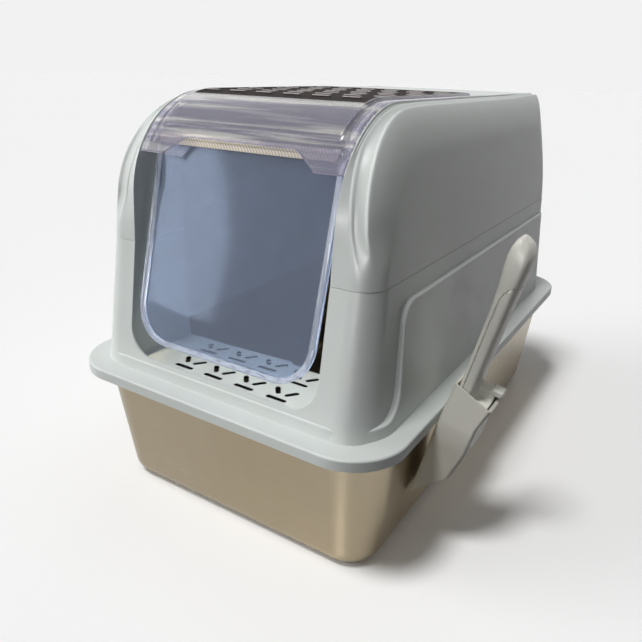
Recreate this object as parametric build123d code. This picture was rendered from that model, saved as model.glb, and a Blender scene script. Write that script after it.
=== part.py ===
from build123d import *

import os
from math import cos, radians, sin, tan

# Enclosed litter box: steel pan, two-part shell, flip-up clear cover with a swing flap, step and scoop.
# Millimetres. X is the width, -Y is the entry side, +Z is up.
# The origin is on the floor, under the middle of the pan.

# ---------------------------------------------------------------- driving dimensions
# steel pan
PAN_FOOT_MARGIN_X = 28.5
PAN_FOOT_MARGIN_Y = 42.0
PAN_FLOOR_CORNER = 34.0
PAN_RIM_HEIGHT = 152.0
PAN_SIDE_DRAFT = 5.6
PAN_END_DRAFT = 7.6
PAN_CORNER_GROWTH = 0.075
PAN_GAUGE = 1.0
PAN_FOOT_RADIUS = 20.0
PAN_CURL_HEIGHT = 6.0

# shell flange, which sits over the rim of the pan
FLANGE_WIDTH = 380.0
FLANGE_LENGTH = 616.0
FLANGE_CORNER = 56.0
SKIRT_HEIGHT = 11.0
FLANGE_EDGE_ROUND = 2.0
WALL = 2.4
SEAT_GAP = 0.3
RIM_SIDE_CLEARANCE = 2.2

# plinth above the flange and the proud side panels
PLINTH_MARGIN_X = 19.5
PLINTH_MARGIN_FRONT = 21.5
PLINTH_MARGIN_REAR = 28.5
PLINTH_CORNER = 46.0
PLINTH_HEIGHT = 12.0
PLINTH_DRAFT = 4.4
PANEL_HEIGHT = 112.5
PANEL_SETBACK = 64.5
PANEL_LEAN = 7.5
PANEL_CORNER = 22.0
PANEL_FOOT_CORNER = 26.0
BEAD_ROUND = 2.2

# walls of the lower shell, up to the parting line
PARTING_RISE = 131.3
WALL_SETBACK_X = 14.3
WALL_SETBACK_FRONT = 21.5
WALL_SETBACK_REAR = 7.5
SIDE_DRAFT = 3.3
FRONT_DRAFT = 9.2
REAR_DRAFT = 2.0
CORNER_AT_PARTING = 24.0
PARTING_GAP = 0.4
TONGUE_HEIGHT = 6.5
TONGUE_THICKNESS = 1.8
TONGUE_CLEARANCE = 0.35

# hood
TOP_HEIGHT = 427.0
TOP_SETBACK_X = 21.2
SIDE_BELLY = 4.2
ARCH_RADIUS = 102.0
HOOD_FRONT_DRAFT = 4.5
HOOD_REAR_DRAFT = 4.5
REAR_TOP_RADIUS = 26.0
HOOD_EDGE_ROUND = 22.0
SHOULDER_MARGIN = 1.5
SHOULDER_SLOPE = 0.14

# entry, which runs from the sill up over the arch and along the top
ENTRY_HALF_WIDTH = 114.5
SILL_RISE = 16.3
ENTRY_CORNER = 30.0
TUNNEL_CORNER = 6.0
JAMB_DEPTH = 91.5
RAIL_DEPTH = 17.0
LEDGE_WIDTH = 7.0
LEDGE_THICKNESS = 2.2

# clear cover
COVER_THICKNESS = 3.0
COVER_SIDE_CLEARANCE = 2.0
COVER_LIFT = 0.5
COVER_SIDE_FLANGE = 9.0
COVER_FLANGE_DROP = 35.0
COVER_LIP_DROP = 38.5
EAR_DROP = 54.0
EAR_INNER_MARGIN = 50.5
EAR_OUTER_MARGIN = 28.5
COVER_PANEL_MARGIN = 12.0
COVER_PANEL_RISE = 2.5
COVER_PANEL_DROP = 29.0

# rear hinge of the cover, whose barrel is flush with the top
HINGE_Y = 74.0
HINGE_BARREL_RADIUS = 2.9
HINGE_PIN_RADIUS = 1.6
HINGE_RUNNING = 0.05
HINGE_EDGE_GAP = 1.2
COVER_KNUCKLE_MARGIN = 18.5
COVER_KNUCKLE_LENGTH = 38.0
KNUCKLE_GAP = 0.5
PIN_ANCHOR_LENGTH = 10.0

# swing flap, which hangs from a rod in the ears of the cover
FLAP_ROD_RADIUS = 2.0
FLAP_ROD_REACH = 68.985
FLAP_ROD_DROP = 41.0
RAIL_BARREL_RADIUS = 3.8
RAIL_JAW_DEPTH = 6.5
RAIL_JAW_THICKNESS = 6.4
RAIL_END_GAP = 1.0
FLAP_SIDE_CLEARANCE = 9.5
FLAP_FOOT_RISE = 19.039
FLAP_THICKNESS = 3.0
FLAP_TOP_DROP = 3.4
FLAP_SLOT_CLEARANCE = 0.1
FLAP_CORNER = 39.0
FLAP_RIM_WIDTH = 5.0
FLAP_RIM_THICKNESS = 5.6
FLAP_TILT = 14.6
ROD_BOSS_RADIUS = 4.6
ROD_CAP_RADIUS = 3.6
ROD_CAP_THICKNESS = 1.2

# perforated step behind the sill
STEP_SEAT_DROP = 11.0
STEP_THICKNESS = 3.0
STEP_SIDE_CLEARANCE = 6.5
STEP_SETBACK = 9.5
STEP_DEPTH = 79.5
STEP_CORNER = 16.0
STEP_EDGE_ROUND = 1.0
STEP_LEDGE = 8.0
STEP_RIB_DEPTH = 5.0
STEP_RIB_THICKNESS = 2.0
STEP_RIB_INSET = 12.0
SLOT_PITCH_X = 39.0
SLOT_PITCH_Y = 36.0
SLOT_COLUMNS = 4
SLOT_ROWS = 2
SLOT_WIDTH = 5.2
BASE_SLOT_LENGTH = 23.0
WING_SLOT_LENGTH = 15.0
WING_SLOT_ANGLE = 52.0
WING_SLOT_OFFSET_X = 8.2
WING_SLOT_OFFSET_Y = 14.5
SLOT_ROW_SETBACK = 13.5

# scoop holder, which leans out with the wall of the pan
LEAN = 13.2
HOLDER_BACK_CLEARANCE = 0.4
HOLDER_SETBACK = 142.5
HOLDER_LENGTH_Y = 49.0
HOLDER_WALL = 2.2
HOLDER_MOUTH_INNER = 32.0
HOLDER_MOUTH_OUTER = 22.0
HOLDER_MOUTH_DEPTH = 40.5
HOLDER_WAIST_DEPTH = 36.0
HOLDER_SHOULDER_DROP = -57.5
HOLDER_SHOULDER_DEPTH = 31.0
HOLDER_TIP_DROP = -98.5
HOLDER_FACE_BEND = -16.0
HOLDER_FACE_SETBACK = 11.5
HANGER_LENGTH = 93.5
HANGER_LIP_LENGTH = 24.0
HANGER_LIP_REACH = 8.0
HANGER_THICKNESS = 2.2
HANGER_DROP = 9.0

# scoop
SCOOP_CLEARANCE = 0.7
HANDLE_WIDTH = 31.5
HANDLE_DEPTH = 16.5
HANDLE_TOP = 177.0
HANDLE_ROUND = 6.0
SPINE_DEPTH = 4.0
GRIP_TOP = 141.0
GRIP_BOTTOM = -6.0
GRIP_GAP = 0.3
HEAD_TOP = -8.0
HEAD_WALL = 2.0
HEAD_SLOT_WIDTH = 4.0
HEAD_SLOT_PITCH = 8.0
HEAD_SLOT_COUNT = 3
HEAD_SLOT_FOOT = -74.0
HEAD_SLOT_LENGTH = 52.0

# ---------------------------------------------------------------- derived sizes
FLANGE_TOP = PAN_RIM_HEIGHT + SEAT_GAP + WALL
PAN_FLOOR_WIDTH = FLANGE_WIDTH - 2 * PAN_FOOT_MARGIN_X
PAN_FLOOR_LENGTH = FLANGE_LENGTH - 2 * PAN_FOOT_MARGIN_Y
PLINTH_HALF = FLANGE_WIDTH / 2 - PLINTH_MARGIN_X
PLINTH_FRONT = -FLANGE_LENGTH / 2 + PLINTH_MARGIN_FRONT
PLINTH_REAR = FLANGE_LENGTH / 2 - PLINTH_MARGIN_REAR
PLINTH_TOP = FLANGE_TOP + PLINTH_HEIGHT
PANEL_TOP = FLANGE_TOP + PANEL_HEIGHT
PANEL_START = PLINTH_FRONT + PANEL_SETBACK
PARTING_HEIGHT = FLANGE_TOP + PARTING_RISE
WALL_HALF_AT_PARTING = PLINTH_HALF - WALL_SETBACK_X
FRONT_AT_PARTING = PLINTH_FRONT + WALL_SETBACK_FRONT
REAR_AT_PARTING = PLINTH_REAR - WALL_SETBACK_REAR
HOOD_BASE = PARTING_HEIGHT + PARTING_GAP
TOP_HALF_WIDTH = WALL_HALF_AT_PARTING - TOP_SETBACK_X
SHOULDER_START = ENTRY_HALF_WIDTH + SHOULDER_MARGIN
SILL_HEIGHT = FLANGE_TOP + SILL_RISE
JAMB_DEPTH_Y = PLINTH_FRONT + JAMB_DEPTH
TOP_OPENING_REAR = HINGE_Y + HINGE_BARREL_RADIUS + HINGE_EDGE_GAP
COVER_REAR = HINGE_Y - HINGE_BARREL_RADIUS - KNUCKLE_GAP
COVER_HALF_WIDTH = ENTRY_HALF_WIDTH - COVER_SIDE_CLEARANCE
COVER_FLANGE_FOOT = TOP_HEIGHT - COVER_FLANGE_DROP
COVER_LIP_HEIGHT = TOP_HEIGHT - COVER_LIP_DROP
COVER_PANEL_FOOT = TOP_HEIGHT - COVER_PANEL_DROP
COVER_KNUCKLE_OUTER = ENTRY_HALF_WIDTH - COVER_KNUCKLE_MARGIN
COVER_KNUCKLE_INNER = COVER_KNUCKLE_OUTER - COVER_KNUCKLE_LENGTH
EAR_HEIGHT = TOP_HEIGHT - EAR_DROP
EAR_INNER_HALF = COVER_HALF_WIDTH - EAR_INNER_MARGIN
EAR_OUTER_HALF = COVER_HALF_WIDTH - EAR_OUTER_MARGIN
HINGE_Z = TOP_HEIGHT - HINGE_BARREL_RADIUS
LEDGE_TOP_OFFSET = COVER_THICKNESS + COVER_LIFT
ARCH_FRONT_Y = FRONT_AT_PARTING + (TOP_HEIGHT - ARCH_RADIUS - PARTING_HEIGHT) * tan(radians(HOOD_FRONT_DRAFT))
ARCH_CENTRE_Y = ARCH_FRONT_Y + ARCH_RADIUS / cos(radians(HOOD_FRONT_DRAFT))
FLAP_ROD_Y = ARCH_CENTRE_Y - FLAP_ROD_REACH
FLAP_ROD_Z = TOP_HEIGHT - FLAP_ROD_DROP
FLAP_WIDTH = 2 * (ENTRY_HALF_WIDTH - FLAP_SIDE_CLEARANCE)
FLAP_LENGTH = (FLAP_ROD_Z - SILL_HEIGHT - FLAP_FOOT_RISE) / cos(radians(FLAP_TILT))
STEP_SEAT_HEIGHT = SILL_HEIGHT - STEP_SEAT_DROP
STEP_WIDTH = 2 * (ENTRY_HALF_WIDTH - STEP_SIDE_CLEARANCE)
STEP_FRONT = PLINTH_FRONT + STEP_SETBACK
STEP_REAR = STEP_FRONT + STEP_DEPTH
SLOT_FIRST_ROW = STEP_FRONT + SLOT_ROW_SETBACK
HOLDER_CENTRE_Y = -FLANGE_LENGTH / 2 + HOLDER_SETBACK
HANGER_REAR = HOLDER_CENTRE_Y + HANGER_LENGTH
HANGER_LIP_START = HANGER_REAR - HANGER_LIP_LENGTH
HANDLE_CENTRE_Y = HOLDER_LENGTH_Y / 2 - HOLDER_WALL - SCOOP_CLEARANCE - HANDLE_WIDTH / 2
BIG = 900.0


# ---------------------------------------------------------------- shared shapes
def rounded_outline(half_x, front, rear, corner, height):
    """Horizontal rounded rectangle from front to rear, at one height."""
    outline = RectangleRounded(2 * half_x, rear - front, corner)
    return Pos(0, (front + rear) / 2, height) * outline


def rounded_prism(half_x, front, rear, corner, low, high):
    """Upright block with a rounded-rectangle plan."""
    return extrude(rounded_outline(half_x, front, rear, corner, low), amount=high - low)


def drafted_block(low_outline, high_outline):
    """Solid between two rounded outlines that have the same number of edges."""
    return loft([low_outline, high_outline], ruled=True)


def block(x_range, y_range, z_range):
    """Box given by its lowest and highest corners."""
    size = [high - low for low, high in (x_range, y_range, z_range)]
    centre = [(high + low) / 2 for low, high in (x_range, y_range, z_range)]
    return Pos(*centre) * Box(*size)


def rod_along_x(radius, x_range, y, z):
    """Round bar along X."""
    length = x_range[1] - x_range[0]
    return Pos((x_range[0] + x_range[1]) / 2, y, z) * Rot(0, 90, 0) * Cylinder(radius, length)


def side_profile(points):
    """Closed face in the YZ plane from (y, z) points."""
    return make_face(Polyline(*[(0, y, z) for y, z in points], close=True))


def front_profile(points):
    """Closed face in the XZ plane from (x, z) points."""
    return make_face(Polyline(*[(x, 0, z) for x, z in points], close=True))


def both_ways_x(face, half_width):
    """Prism of a YZ face, to the same distance on both sides."""
    return extrude(face, amount=half_width, dir=(1, 0, 0), both=True)


def along_y(face, front, rear):
    """Prism of an XZ face, from one Y to another."""
    return extrude(Pos(0, front, 0) * face, amount=rear - front, dir=(0, 1, 0))


def mirrored(shape):
    """The same shape on the other side of the box."""
    return mirror(shape, about=Plane.YZ)


# ---------------------------------------------------------------- litter pan
def pan_half_sizes(height):
    """Half width, half length and corner of the pan at a height."""
    half_x = PAN_FLOOR_WIDTH / 2 + height * tan(radians(PAN_SIDE_DRAFT))
    half_y = PAN_FLOOR_LENGTH / 2 + height * tan(radians(PAN_END_DRAFT))
    corner = PAN_FLOOR_CORNER + height * PAN_CORNER_GROWTH
    return half_x, half_y, corner


def pan_body(low, high, inset):
    """Drafted tub between two heights, drawn in by an inset."""
    outlines = []
    for height in (low, high):
        half_x, half_y, corner = pan_half_sizes(height)
        outlines.append(
            rounded_outline(half_x - inset, -half_y + inset, half_y - inset, corner - inset, height)
        )
    return drafted_block(*outlines)


def foot_edges(tub, height):
    """Edges of the tub's floor outline."""
    return tub.edges().filter_by_position(Axis.Z, height - 0.01, height + 0.01)


def make_litter_pan():
    outer = pan_body(0, PAN_RIM_HEIGHT, 0)
    outer = fillet(foot_edges(outer, 0), PAN_FOOT_RADIUS)
    inner = pan_body(PAN_GAUGE, PAN_RIM_HEIGHT + PAN_GAUGE, PAN_GAUGE)
    inner = fillet(foot_edges(inner, PAN_GAUGE), PAN_FOOT_RADIUS - PAN_GAUGE)
    rim_half_x = FLANGE_WIDTH / 2 - WALL - RIM_SIDE_CLEARANCE
    rim_half_y = FLANGE_LENGTH / 2 - WALL - RIM_SIDE_CLEARANCE
    rim_corner = FLANGE_CORNER - WALL - RIM_SIDE_CLEARANCE
    curl_low = PAN_RIM_HEIGHT - PAN_CURL_HEIGHT
    rim = rounded_prism(rim_half_x, -rim_half_y, rim_half_y, rim_corner, curl_low, PAN_RIM_HEIGHT)
    under_rim = rounded_prism(
        rim_half_x - PAN_GAUGE,
        -rim_half_y + PAN_GAUGE,
        rim_half_y - PAN_GAUGE,
        rim_corner - PAN_GAUGE,
        curl_low,
        PAN_RIM_HEIGHT - PAN_GAUGE,
    )
    return outer + (rim - under_rim) - inner


# ---------------------------------------------------------------- lower shell
def wall_outline(height, inset):
    """Outline of the lower shell's wall at a height."""
    drop = PARTING_HEIGHT - height
    half_x = WALL_HALF_AT_PARTING + drop * tan(radians(SIDE_DRAFT)) - inset
    front = FRONT_AT_PARTING - drop * tan(radians(FRONT_DRAFT)) + inset
    rear = REAR_AT_PARTING + drop * tan(radians(REAR_DRAFT)) - inset
    corner = CORNER_AT_PARTING + 0.05 * drop - inset
    return rounded_outline(half_x, front, rear, corner, height)


def wall_block(low, high, inset):
    return drafted_block(wall_outline(low, inset), wall_outline(high, inset))


def plinth_outline(height, inset):
    """Outline of the plinth and the proud panels above it."""
    rise = height - FLANGE_TOP
    draw_in = rise * tan(radians(PLINTH_DRAFT)) + inset
    return rounded_outline(
        PLINTH_HALF - draw_in,
        PLINTH_FRONT + draw_in,
        PLINTH_REAR - draw_in,
        PLINTH_CORNER - draw_in,
        height,
    )


def panel_side_face(inset):
    """Side view of the proud region: a low band at the front, a tall panel behind it."""
    far = FLANGE_LENGTH
    foot_y = PANEL_START - PANEL_LEAN
    corners = [
        (-far, FLANGE_TOP - 20),
        (-far, PLINTH_TOP - inset),
        (foot_y, PLINTH_TOP - inset),
        (PANEL_START + PANEL_LEAN, PANEL_TOP - inset),
        (far, PANEL_TOP - inset),
        (far, FLANGE_TOP - 20),
    ]
    face = side_profile(corners)
    points = face.vertices()
    inner_corner = points.sort_by_distance((0, foot_y, PLINTH_TOP - inset))[0]
    outer_corner = points.sort_by_distance((0, PANEL_START + PANEL_LEAN, PANEL_TOP - inset))[0]
    face = fillet(inner_corner, PANEL_FOOT_CORNER + inset)
    outer_corner = face.vertices().sort_by_distance(outer_corner.center())[0]
    return fillet(outer_corner, PANEL_CORNER - inset)


def proud_rim_edges(proud):
    """Edges round the top of the plinth and the panels, without the upright seams of the corners."""
    edges = []
    for edge in proud.edges():
        box = edge.bounding_box()
        above_plinth = box.max.Z > PLINTH_TOP - 1
        upright = box.size.Z > 5 * max(box.size.X, box.size.Y)
        ahead = box.min.Y < PANEL_START + 2 * PANEL_CORNER
        behind = box.max.Y > PANEL_START - 2 * PANEL_LEAN
        panel_front = ahead and behind and box.min.Z > PLINTH_TOP - 1
        if above_plinth and (panel_front or not upright):
            edges.append(edge)
    return edges


def proud_block(inset):
    """Plinth with the proud side and rear panels."""
    low = FLANGE_TOP - WALL if inset == 0 else FLANGE_TOP - 12
    tall = drafted_block(plinth_outline(low, inset), plinth_outline(PANEL_TOP + 5, inset))
    proud = tall & both_ways_x(panel_side_face(inset), BIG)
    return proud if inset else fillet(proud_rim_edges(proud), BEAD_ROUND)


def entry_cut(front, rear, clear=0.0):
    """U-shaped way in, from the sill up past the parting line."""
    half = ENTRY_HALF_WIDTH - clear
    low = SILL_HEIGHT + clear
    high = PARTING_HEIGHT + 30
    face = front_profile([(-half, low), (half, low), (half, high), (-half, high)])
    lower = face.vertices().sort_by(Axis.Z)[:2]
    face = fillet(lower, ENTRY_CORNER - clear)
    return along_y(face, front, rear)


def tunnel_section(grow):
    """Section of the tunnel behind the sill, grown outwards by a wall."""
    half = ENTRY_HALF_WIDTH + grow
    low = STEP_SEAT_HEIGHT - grow
    top = PARTING_HEIGHT + 30
    face = front_profile([(-half, low), (half, low), (half, top), (-half, top)])
    lower = face.vertices().sort_by(Axis.Z)[:2]
    return fillet(lower, TUNNEL_CORNER + grow)


def tunnel_solid(grow, rear):
    return along_y(tunnel_section(grow), PLINTH_FRONT - 5, rear)


def make_lower_shell():
    skirt_low = FLANGE_TOP - SKIRT_HEIGHT
    half_x = FLANGE_WIDTH / 2
    half_y = FLANGE_LENGTH / 2
    flange = rounded_prism(half_x, -half_y, half_y, FLANGE_CORNER, skirt_low, FLANGE_TOP)
    top_rim = flange.edges().filter_by_position(Axis.Z, FLANGE_TOP - 0.01, FLANGE_TOP + 0.01)
    flange = fillet(top_rim, FLANGE_EDGE_ROUND)
    under = rounded_prism(
        half_x - WALL, -half_y + WALL, half_y - WALL, FLANGE_CORNER - WALL, skirt_low, FLANGE_TOP - WALL
    )
    walls = wall_block(FLANGE_TOP - WALL, PARTING_HEIGHT, 0)
    walls_inside = wall_block(FLANGE_TOP - 12, PARTING_HEIGHT + 5, WALL)
    outside = walls + proud_block(0)
    inside = walls_inside + proud_block(WALL)
    shell = (flange - under) + outside - inside

    # inner rim that carries the hood
    ring_low = PARTING_HEIGHT - 8
    carrier = wall_block(ring_low, PARTING_HEIGHT, WALL / 2) - wall_block(
        ring_low - 1, PARTING_HEIGHT + 1, WALL + TONGUE_CLEARANCE + TONGUE_THICKNESS
    )
    tongue_top = PARTING_HEIGHT + TONGUE_HEIGHT
    tongue = wall_block(PARTING_HEIGHT - 1, tongue_top, WALL + TONGUE_CLEARANCE) - wall_block(
        PARTING_HEIGHT - 2, tongue_top + 1, WALL + TONGUE_CLEARANCE + TONGUE_THICKNESS
    )
    jamb_room = ENTRY_HALF_WIDTH + WALL + TONGUE_CLEARANCE
    tongue = tongue - block((-jamb_room, jamb_room), (-BIG, 0), (PARTING_HEIGHT, BIG))
    shell = shell + carrier + tongue

    # tunnel behind the sill, with the seat of the step
    tunnel = tunnel_solid(WALL, JAMB_DEPTH_Y) & wall_block(FLANGE_TOP - WALL, PARTING_HEIGHT, 0)
    way_in = tunnel_solid(0, JAMB_DEPTH_Y + 1) & wall_block(STEP_SEAT_HEIGHT - 1, PARTING_HEIGHT + 5, WALL)
    shell = shell + tunnel - way_in
    shell = shell - entry_cut(PLINTH_FRONT - 10, PLINTH_FRONT + 60)
    window_half = STEP_WIDTH / 2 - STEP_LEDGE
    window = block(
        (-window_half, window_half),
        (STEP_FRONT + STEP_LEDGE, STEP_REAR - STEP_LEDGE),
        (STEP_SEAT_HEIGHT - WALL - 5, STEP_SEAT_HEIGHT + 1),
    )
    window = fillet(window.edges().filter_by(Axis.Z), STEP_CORNER - STEP_LEDGE / 2)
    return shell - window


# ---------------------------------------------------------------- hood
def hood_side_face(inset, drop=0.0):
    """Side view of the hood: drafted front, arch, flat top and rear. The drop lowers all but the base."""
    low = HOOD_BASE - (0 if inset == 0 else 5)
    lean = tan(radians(HOOD_FRONT_DRAFT))
    radius = ARCH_RADIUS - inset - drop
    top = TOP_HEIGHT - inset - drop
    front = FRONT_AT_PARTING + inset
    front_low = (front - (PARTING_HEIGHT - low) * lean, low)
    front_high = (front + drop + (top - PARTING_HEIGHT) * lean, top)
    rear_lean = tan(radians(HOOD_REAR_DRAFT))
    rear_high = (REAR_AT_PARTING - inset - (top - PARTING_HEIGHT) * rear_lean, top)
    rear_low = (REAR_AT_PARTING - inset + (PARTING_HEIGHT - low) * rear_lean, low)
    face = side_profile([front_low, front_high, rear_high, rear_low])
    front_corner = face.vertices().sort_by_distance((0, *front_high))[0]
    face = fillet(front_corner, radius)
    rear_corner = face.vertices().sort_by_distance((0, *rear_high))[0]
    return fillet(rear_corner, REAR_TOP_RADIUS - inset)


def hood_front_face(inset):
    """Front view of the hood: bellied sides that draw in towards the top."""
    low = HOOD_BASE - (0 if inset == 0 else 5)
    top = TOP_HEIGHT - inset
    base_half = WALL_HALF_AT_PARTING - inset
    top_half = TOP_HALF_WIDTH - inset
    mid_half = (base_half + top_half) / 2 + SIDE_BELLY
    middle = (low + top) / 2
    right = ThreePointArc((base_half, 0, low), (mid_half, 0, middle), (top_half, 0, top))
    left = ThreePointArc((-top_half, 0, top), (-mid_half, 0, middle), (-base_half, 0, low))
    lid = Line((top_half, 0, top), (-top_half, 0, top))
    base = Line((-base_half, 0, low), (base_half, 0, low))
    return make_face(Curve() + [right, lid, left, base])


def shouldered_hood(inset):
    """Hood as full side profiles: level across the middle, then dropping away towards each side."""
    level = both_ways_x(hood_side_face(inset), SHOULDER_START)
    edge_x = WALL_HALF_AT_PARTING + 10
    drop = (edge_x - SHOULDER_START) * SHOULDER_SLOPE
    near = Pos(SHOULDER_START, 0, 0) * hood_side_face(inset)
    far = Pos(edge_x, 0, 0) * hood_side_face(inset, drop)
    shoulder = loft([near, far], ruled=True)
    return level + shoulder + mirrored(shoulder)


def hood_side_edges(solid):
    """Edges where the side walls meet the front, the arch, the top and the rear."""
    edges = []
    for edge in solid.edges():
        box = edge.bounding_box()
        on_a_side = box.min.X > SHOULDER_START + 1 or box.max.X < -SHOULDER_START - 1
        if on_a_side and box.max.Z > HOOD_BASE + 1:
            edges.append(edge)
    return edges


def hood_block(inset):
    """Whole hood as a solid, drawn in by an inset."""
    solid = along_y(hood_front_face(inset), -BIG, BIG) & shouldered_hood(inset)
    return fillet(hood_side_edges(solid), HOOD_EDGE_ROUND - inset)


def arch_band(depth_outer, depth_inner, half_outer, half_inner, rear):
    """Strip that follows the arch and the top on each side, below the hood's surface."""
    outer = both_ways_x(hood_side_face(depth_outer), half_outer)
    inner = both_ways_x(hood_side_face(depth_inner), half_outer + 1)
    middle = block((-half_inner, half_inner), (-BIG, BIG), (0, BIG))
    behind = block((-BIG, BIG), (rear, BIG), (0, BIG))
    return outer - inner - middle - behind


def make_upper_hood():
    solid = hood_block(0)
    hollow = hood_block(WALL)
    shell = solid - hollow

    # side walls of the entry and the rails beside the top opening
    half = ENTRY_HALF_WIDTH
    jamb = block((-half - WALL, half + WALL), (-BIG, JAMB_DEPTH_Y), (HOOD_BASE, BIG))
    rail = block((-half - WALL, half + WALL), (-BIG, TOP_OPENING_REAR + WALL), (TOP_HEIGHT - RAIL_DEPTH, BIG))
    shell = shell + ((jamb + rail) & solid)
    opening = block((-half, half), (-BIG, TOP_OPENING_REAR), (HOOD_BASE - 10, BIG))
    shell = shell - opening

    # ledge under the edges of the cover
    ledge = arch_band(
        LEDGE_TOP_OFFSET,
        LEDGE_TOP_OFFSET + LEDGE_THICKNESS,
        half + WALL / 2,
        half - LEDGE_WIDTH,
        COVER_REAR,
    )
    below_ear = block((-BIG, BIG), (-BIG, BIG), (0, EAR_HEIGHT))
    shell = shell + (ledge - below_ear)

    # hinge barrels: one in the middle, one beside each rail
    outer_start = COVER_KNUCKLE_OUTER + KNUCKLE_GAP
    middle_end = COVER_KNUCKLE_INNER - KNUCKLE_GAP
    shell = shell + hood_barrel(-middle_end, middle_end)
    shell = shell + hood_barrel(outer_start, half + WALL / 2)
    shell = shell + hood_barrel(-half - WALL / 2, -outer_start)
    for sign in (-1, 1):
        shell = shell - mirror_to(sign, hinge_bore())
    return shell


def hood_barrel(x_start, x_end):
    """Stretch of hinge barrel on the rear edge of the top opening."""
    barrel = rod_along_x(HINGE_BARREL_RADIUS, (x_start, x_end), HINGE_Y, HINGE_Z)
    bridge = block(
        (x_start, x_end),
        (HINGE_Y, TOP_OPENING_REAR + WALL),
        (TOP_HEIGHT - WALL, TOP_HEIGHT - WALL / 6),
    )
    return barrel + bridge


def hinge_pin_span():
    """Where the right-hand pin starts and ends along X."""
    return COVER_KNUCKLE_INNER - PIN_ANCHOR_LENGTH, COVER_KNUCKLE_OUTER + PIN_ANCHOR_LENGTH


def hinge_bore():
    """Running bore for the right-hand pin."""
    start, end = hinge_pin_span()
    span = (start - KNUCKLE_GAP, end + KNUCKLE_GAP)
    return rod_along_x(HINGE_PIN_RADIUS + HINGE_RUNNING, span, HINGE_Y, HINGE_Z)


def mirror_to(sign, shape):
    """The shape itself for +1, its mirror image across the box for -1."""
    return shape if sign > 0 else mirrored(shape)


# ---------------------------------------------------------------- clear cover
def cover_sheet():
    """Bent sheet that follows the arch and the top, with a raised panel in its middle."""
    sheet = both_ways_x(hood_side_face(0), COVER_HALF_WIDTH)
    raised = both_ways_x(hood_side_face(-COVER_PANEL_RISE), COVER_HALF_WIDTH - COVER_PANEL_MARGIN)
    raised = chamfer(raised.edges().filter_by(Axis.X, reverse=True), COVER_PANEL_RISE * 0.9)
    behind_panel = block((-BIG, BIG), (COVER_REAR - COVER_PANEL_MARGIN, BIG), (0, BIG))
    under_panel = block((-BIG, BIG), (-BIG, BIG), (0, COVER_PANEL_FOOT))
    outer = sheet + (raised - behind_panel - under_panel)
    inner = both_ways_x(hood_side_face(COVER_THICKNESS), COVER_HALF_WIDTH + 1)
    inset = COVER_PANEL_MARGIN + COVER_THICKNESS
    recess = both_ways_x(hood_side_face(COVER_THICKNESS - COVER_PANEL_RISE), COVER_HALF_WIDTH - inset)
    recess = recess - block((-BIG, BIG), (COVER_REAR - inset, BIG), (0, BIG))
    recess = recess - block((-BIG, BIG), (-BIG, BIG), (0, COVER_PANEL_FOOT + COVER_THICKNESS))
    behind = block((-BIG, BIG), (COVER_REAR, BIG), (0, BIG))
    below = block((-BIG, BIG), (-BIG, BIG), (0, EAR_HEIGHT))
    return outer - inner - recess - behind - below


def ear_cut():
    """Region removed between the two ears."""
    points = [
        (-EAR_OUTER_HALF, EAR_HEIGHT - 10),
        (-EAR_OUTER_HALF, EAR_HEIGHT + 2),
        (-EAR_INNER_HALF, COVER_LIP_HEIGHT),
        (EAR_INNER_HALF, COVER_LIP_HEIGHT),
        (EAR_OUTER_HALF, EAR_HEIGHT + 2),
        (EAR_OUTER_HALF, EAR_HEIGHT - 10),
    ]
    face = front_profile(points)
    for x, z, radius in ((EAR_INNER_HALF, COVER_LIP_HEIGHT, 14.0), (EAR_OUTER_HALF, EAR_HEIGHT + 2, 1.5)):
        for sign in (-1, 1):
            corner = face.vertices().sort_by_distance((sign * x, 0, z))[0]
            face = fillet(corner, radius)
    return along_y(face, -BIG, 0)


def cover_flanges():
    """Turned-down sides of the cover, one on each edge."""
    half = COVER_HALF_WIDTH
    outer = both_ways_x(hood_side_face(0), half)
    inner = both_ways_x(hood_side_face(COVER_SIDE_FLANGE), half + 1)
    side = half - LEDGE_WIDTH
    middle = block((-side + COVER_THICKNESS, side - COVER_THICKNESS), (-BIG, BIG), (0, BIG))
    edges = block((-side, side), (-BIG, BIG), (0, BIG))
    behind = block((-BIG, BIG), (COVER_REAR, BIG), (0, BIG))
    below = block((-BIG, BIG), (-BIG, BIG), (0, COVER_FLANGE_FOOT))
    return ((outer - inner) & edges) - middle - behind - below


def make_clear_cover():
    cover = cover_sheet() - ear_cut() + cover_flanges()

    # bosses that hold the rod of the flap
    half = COVER_HALF_WIDTH - LEDGE_WIDTH
    for sign in (-1, 1):
        span = sorted((sign * half, sign * (half - COVER_THICKNESS)))
        boss = rod_along_x(ROD_BOSS_RADIUS, span, FLAP_ROD_Y, FLAP_ROD_Z)
        strap = block(
            span,
            (FLAP_ROD_Y - 4 * ROD_BOSS_RADIUS, FLAP_ROD_Y),
            (FLAP_ROD_Z - ROD_BOSS_RADIUS, FLAP_ROD_Z + ROD_BOSS_RADIUS),
        )
        cover = cover + boss + (strap & both_ways_x(hood_side_face(1), BIG))
    rod_room = (-half - 1, half + 1)
    cover = cover - rod_along_x(FLAP_ROD_RADIUS + HINGE_RUNNING, rod_room, FLAP_ROD_Y, FLAP_ROD_Z)

    # knuckles of the rear hinge
    span = (COVER_KNUCKLE_INNER, COVER_KNUCKLE_OUTER)
    barrel = rod_along_x(HINGE_BARREL_RADIUS, span, HINGE_Y, HINGE_Z)
    bridge = block(span, (COVER_REAR - 1, HINGE_Y), (TOP_HEIGHT - COVER_THICKNESS, TOP_HEIGHT - WALL / 6))
    for sign in (-1, 1):
        cover = cover + mirror_to(sign, barrel + bridge) - mirror_to(sign, hinge_bore())
    return cover


def make_hinge_pin(sign):
    return mirror_to(sign, rod_along_x(HINGE_PIN_RADIUS, hinge_pin_span(), HINGE_Y, HINGE_Z))


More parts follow.
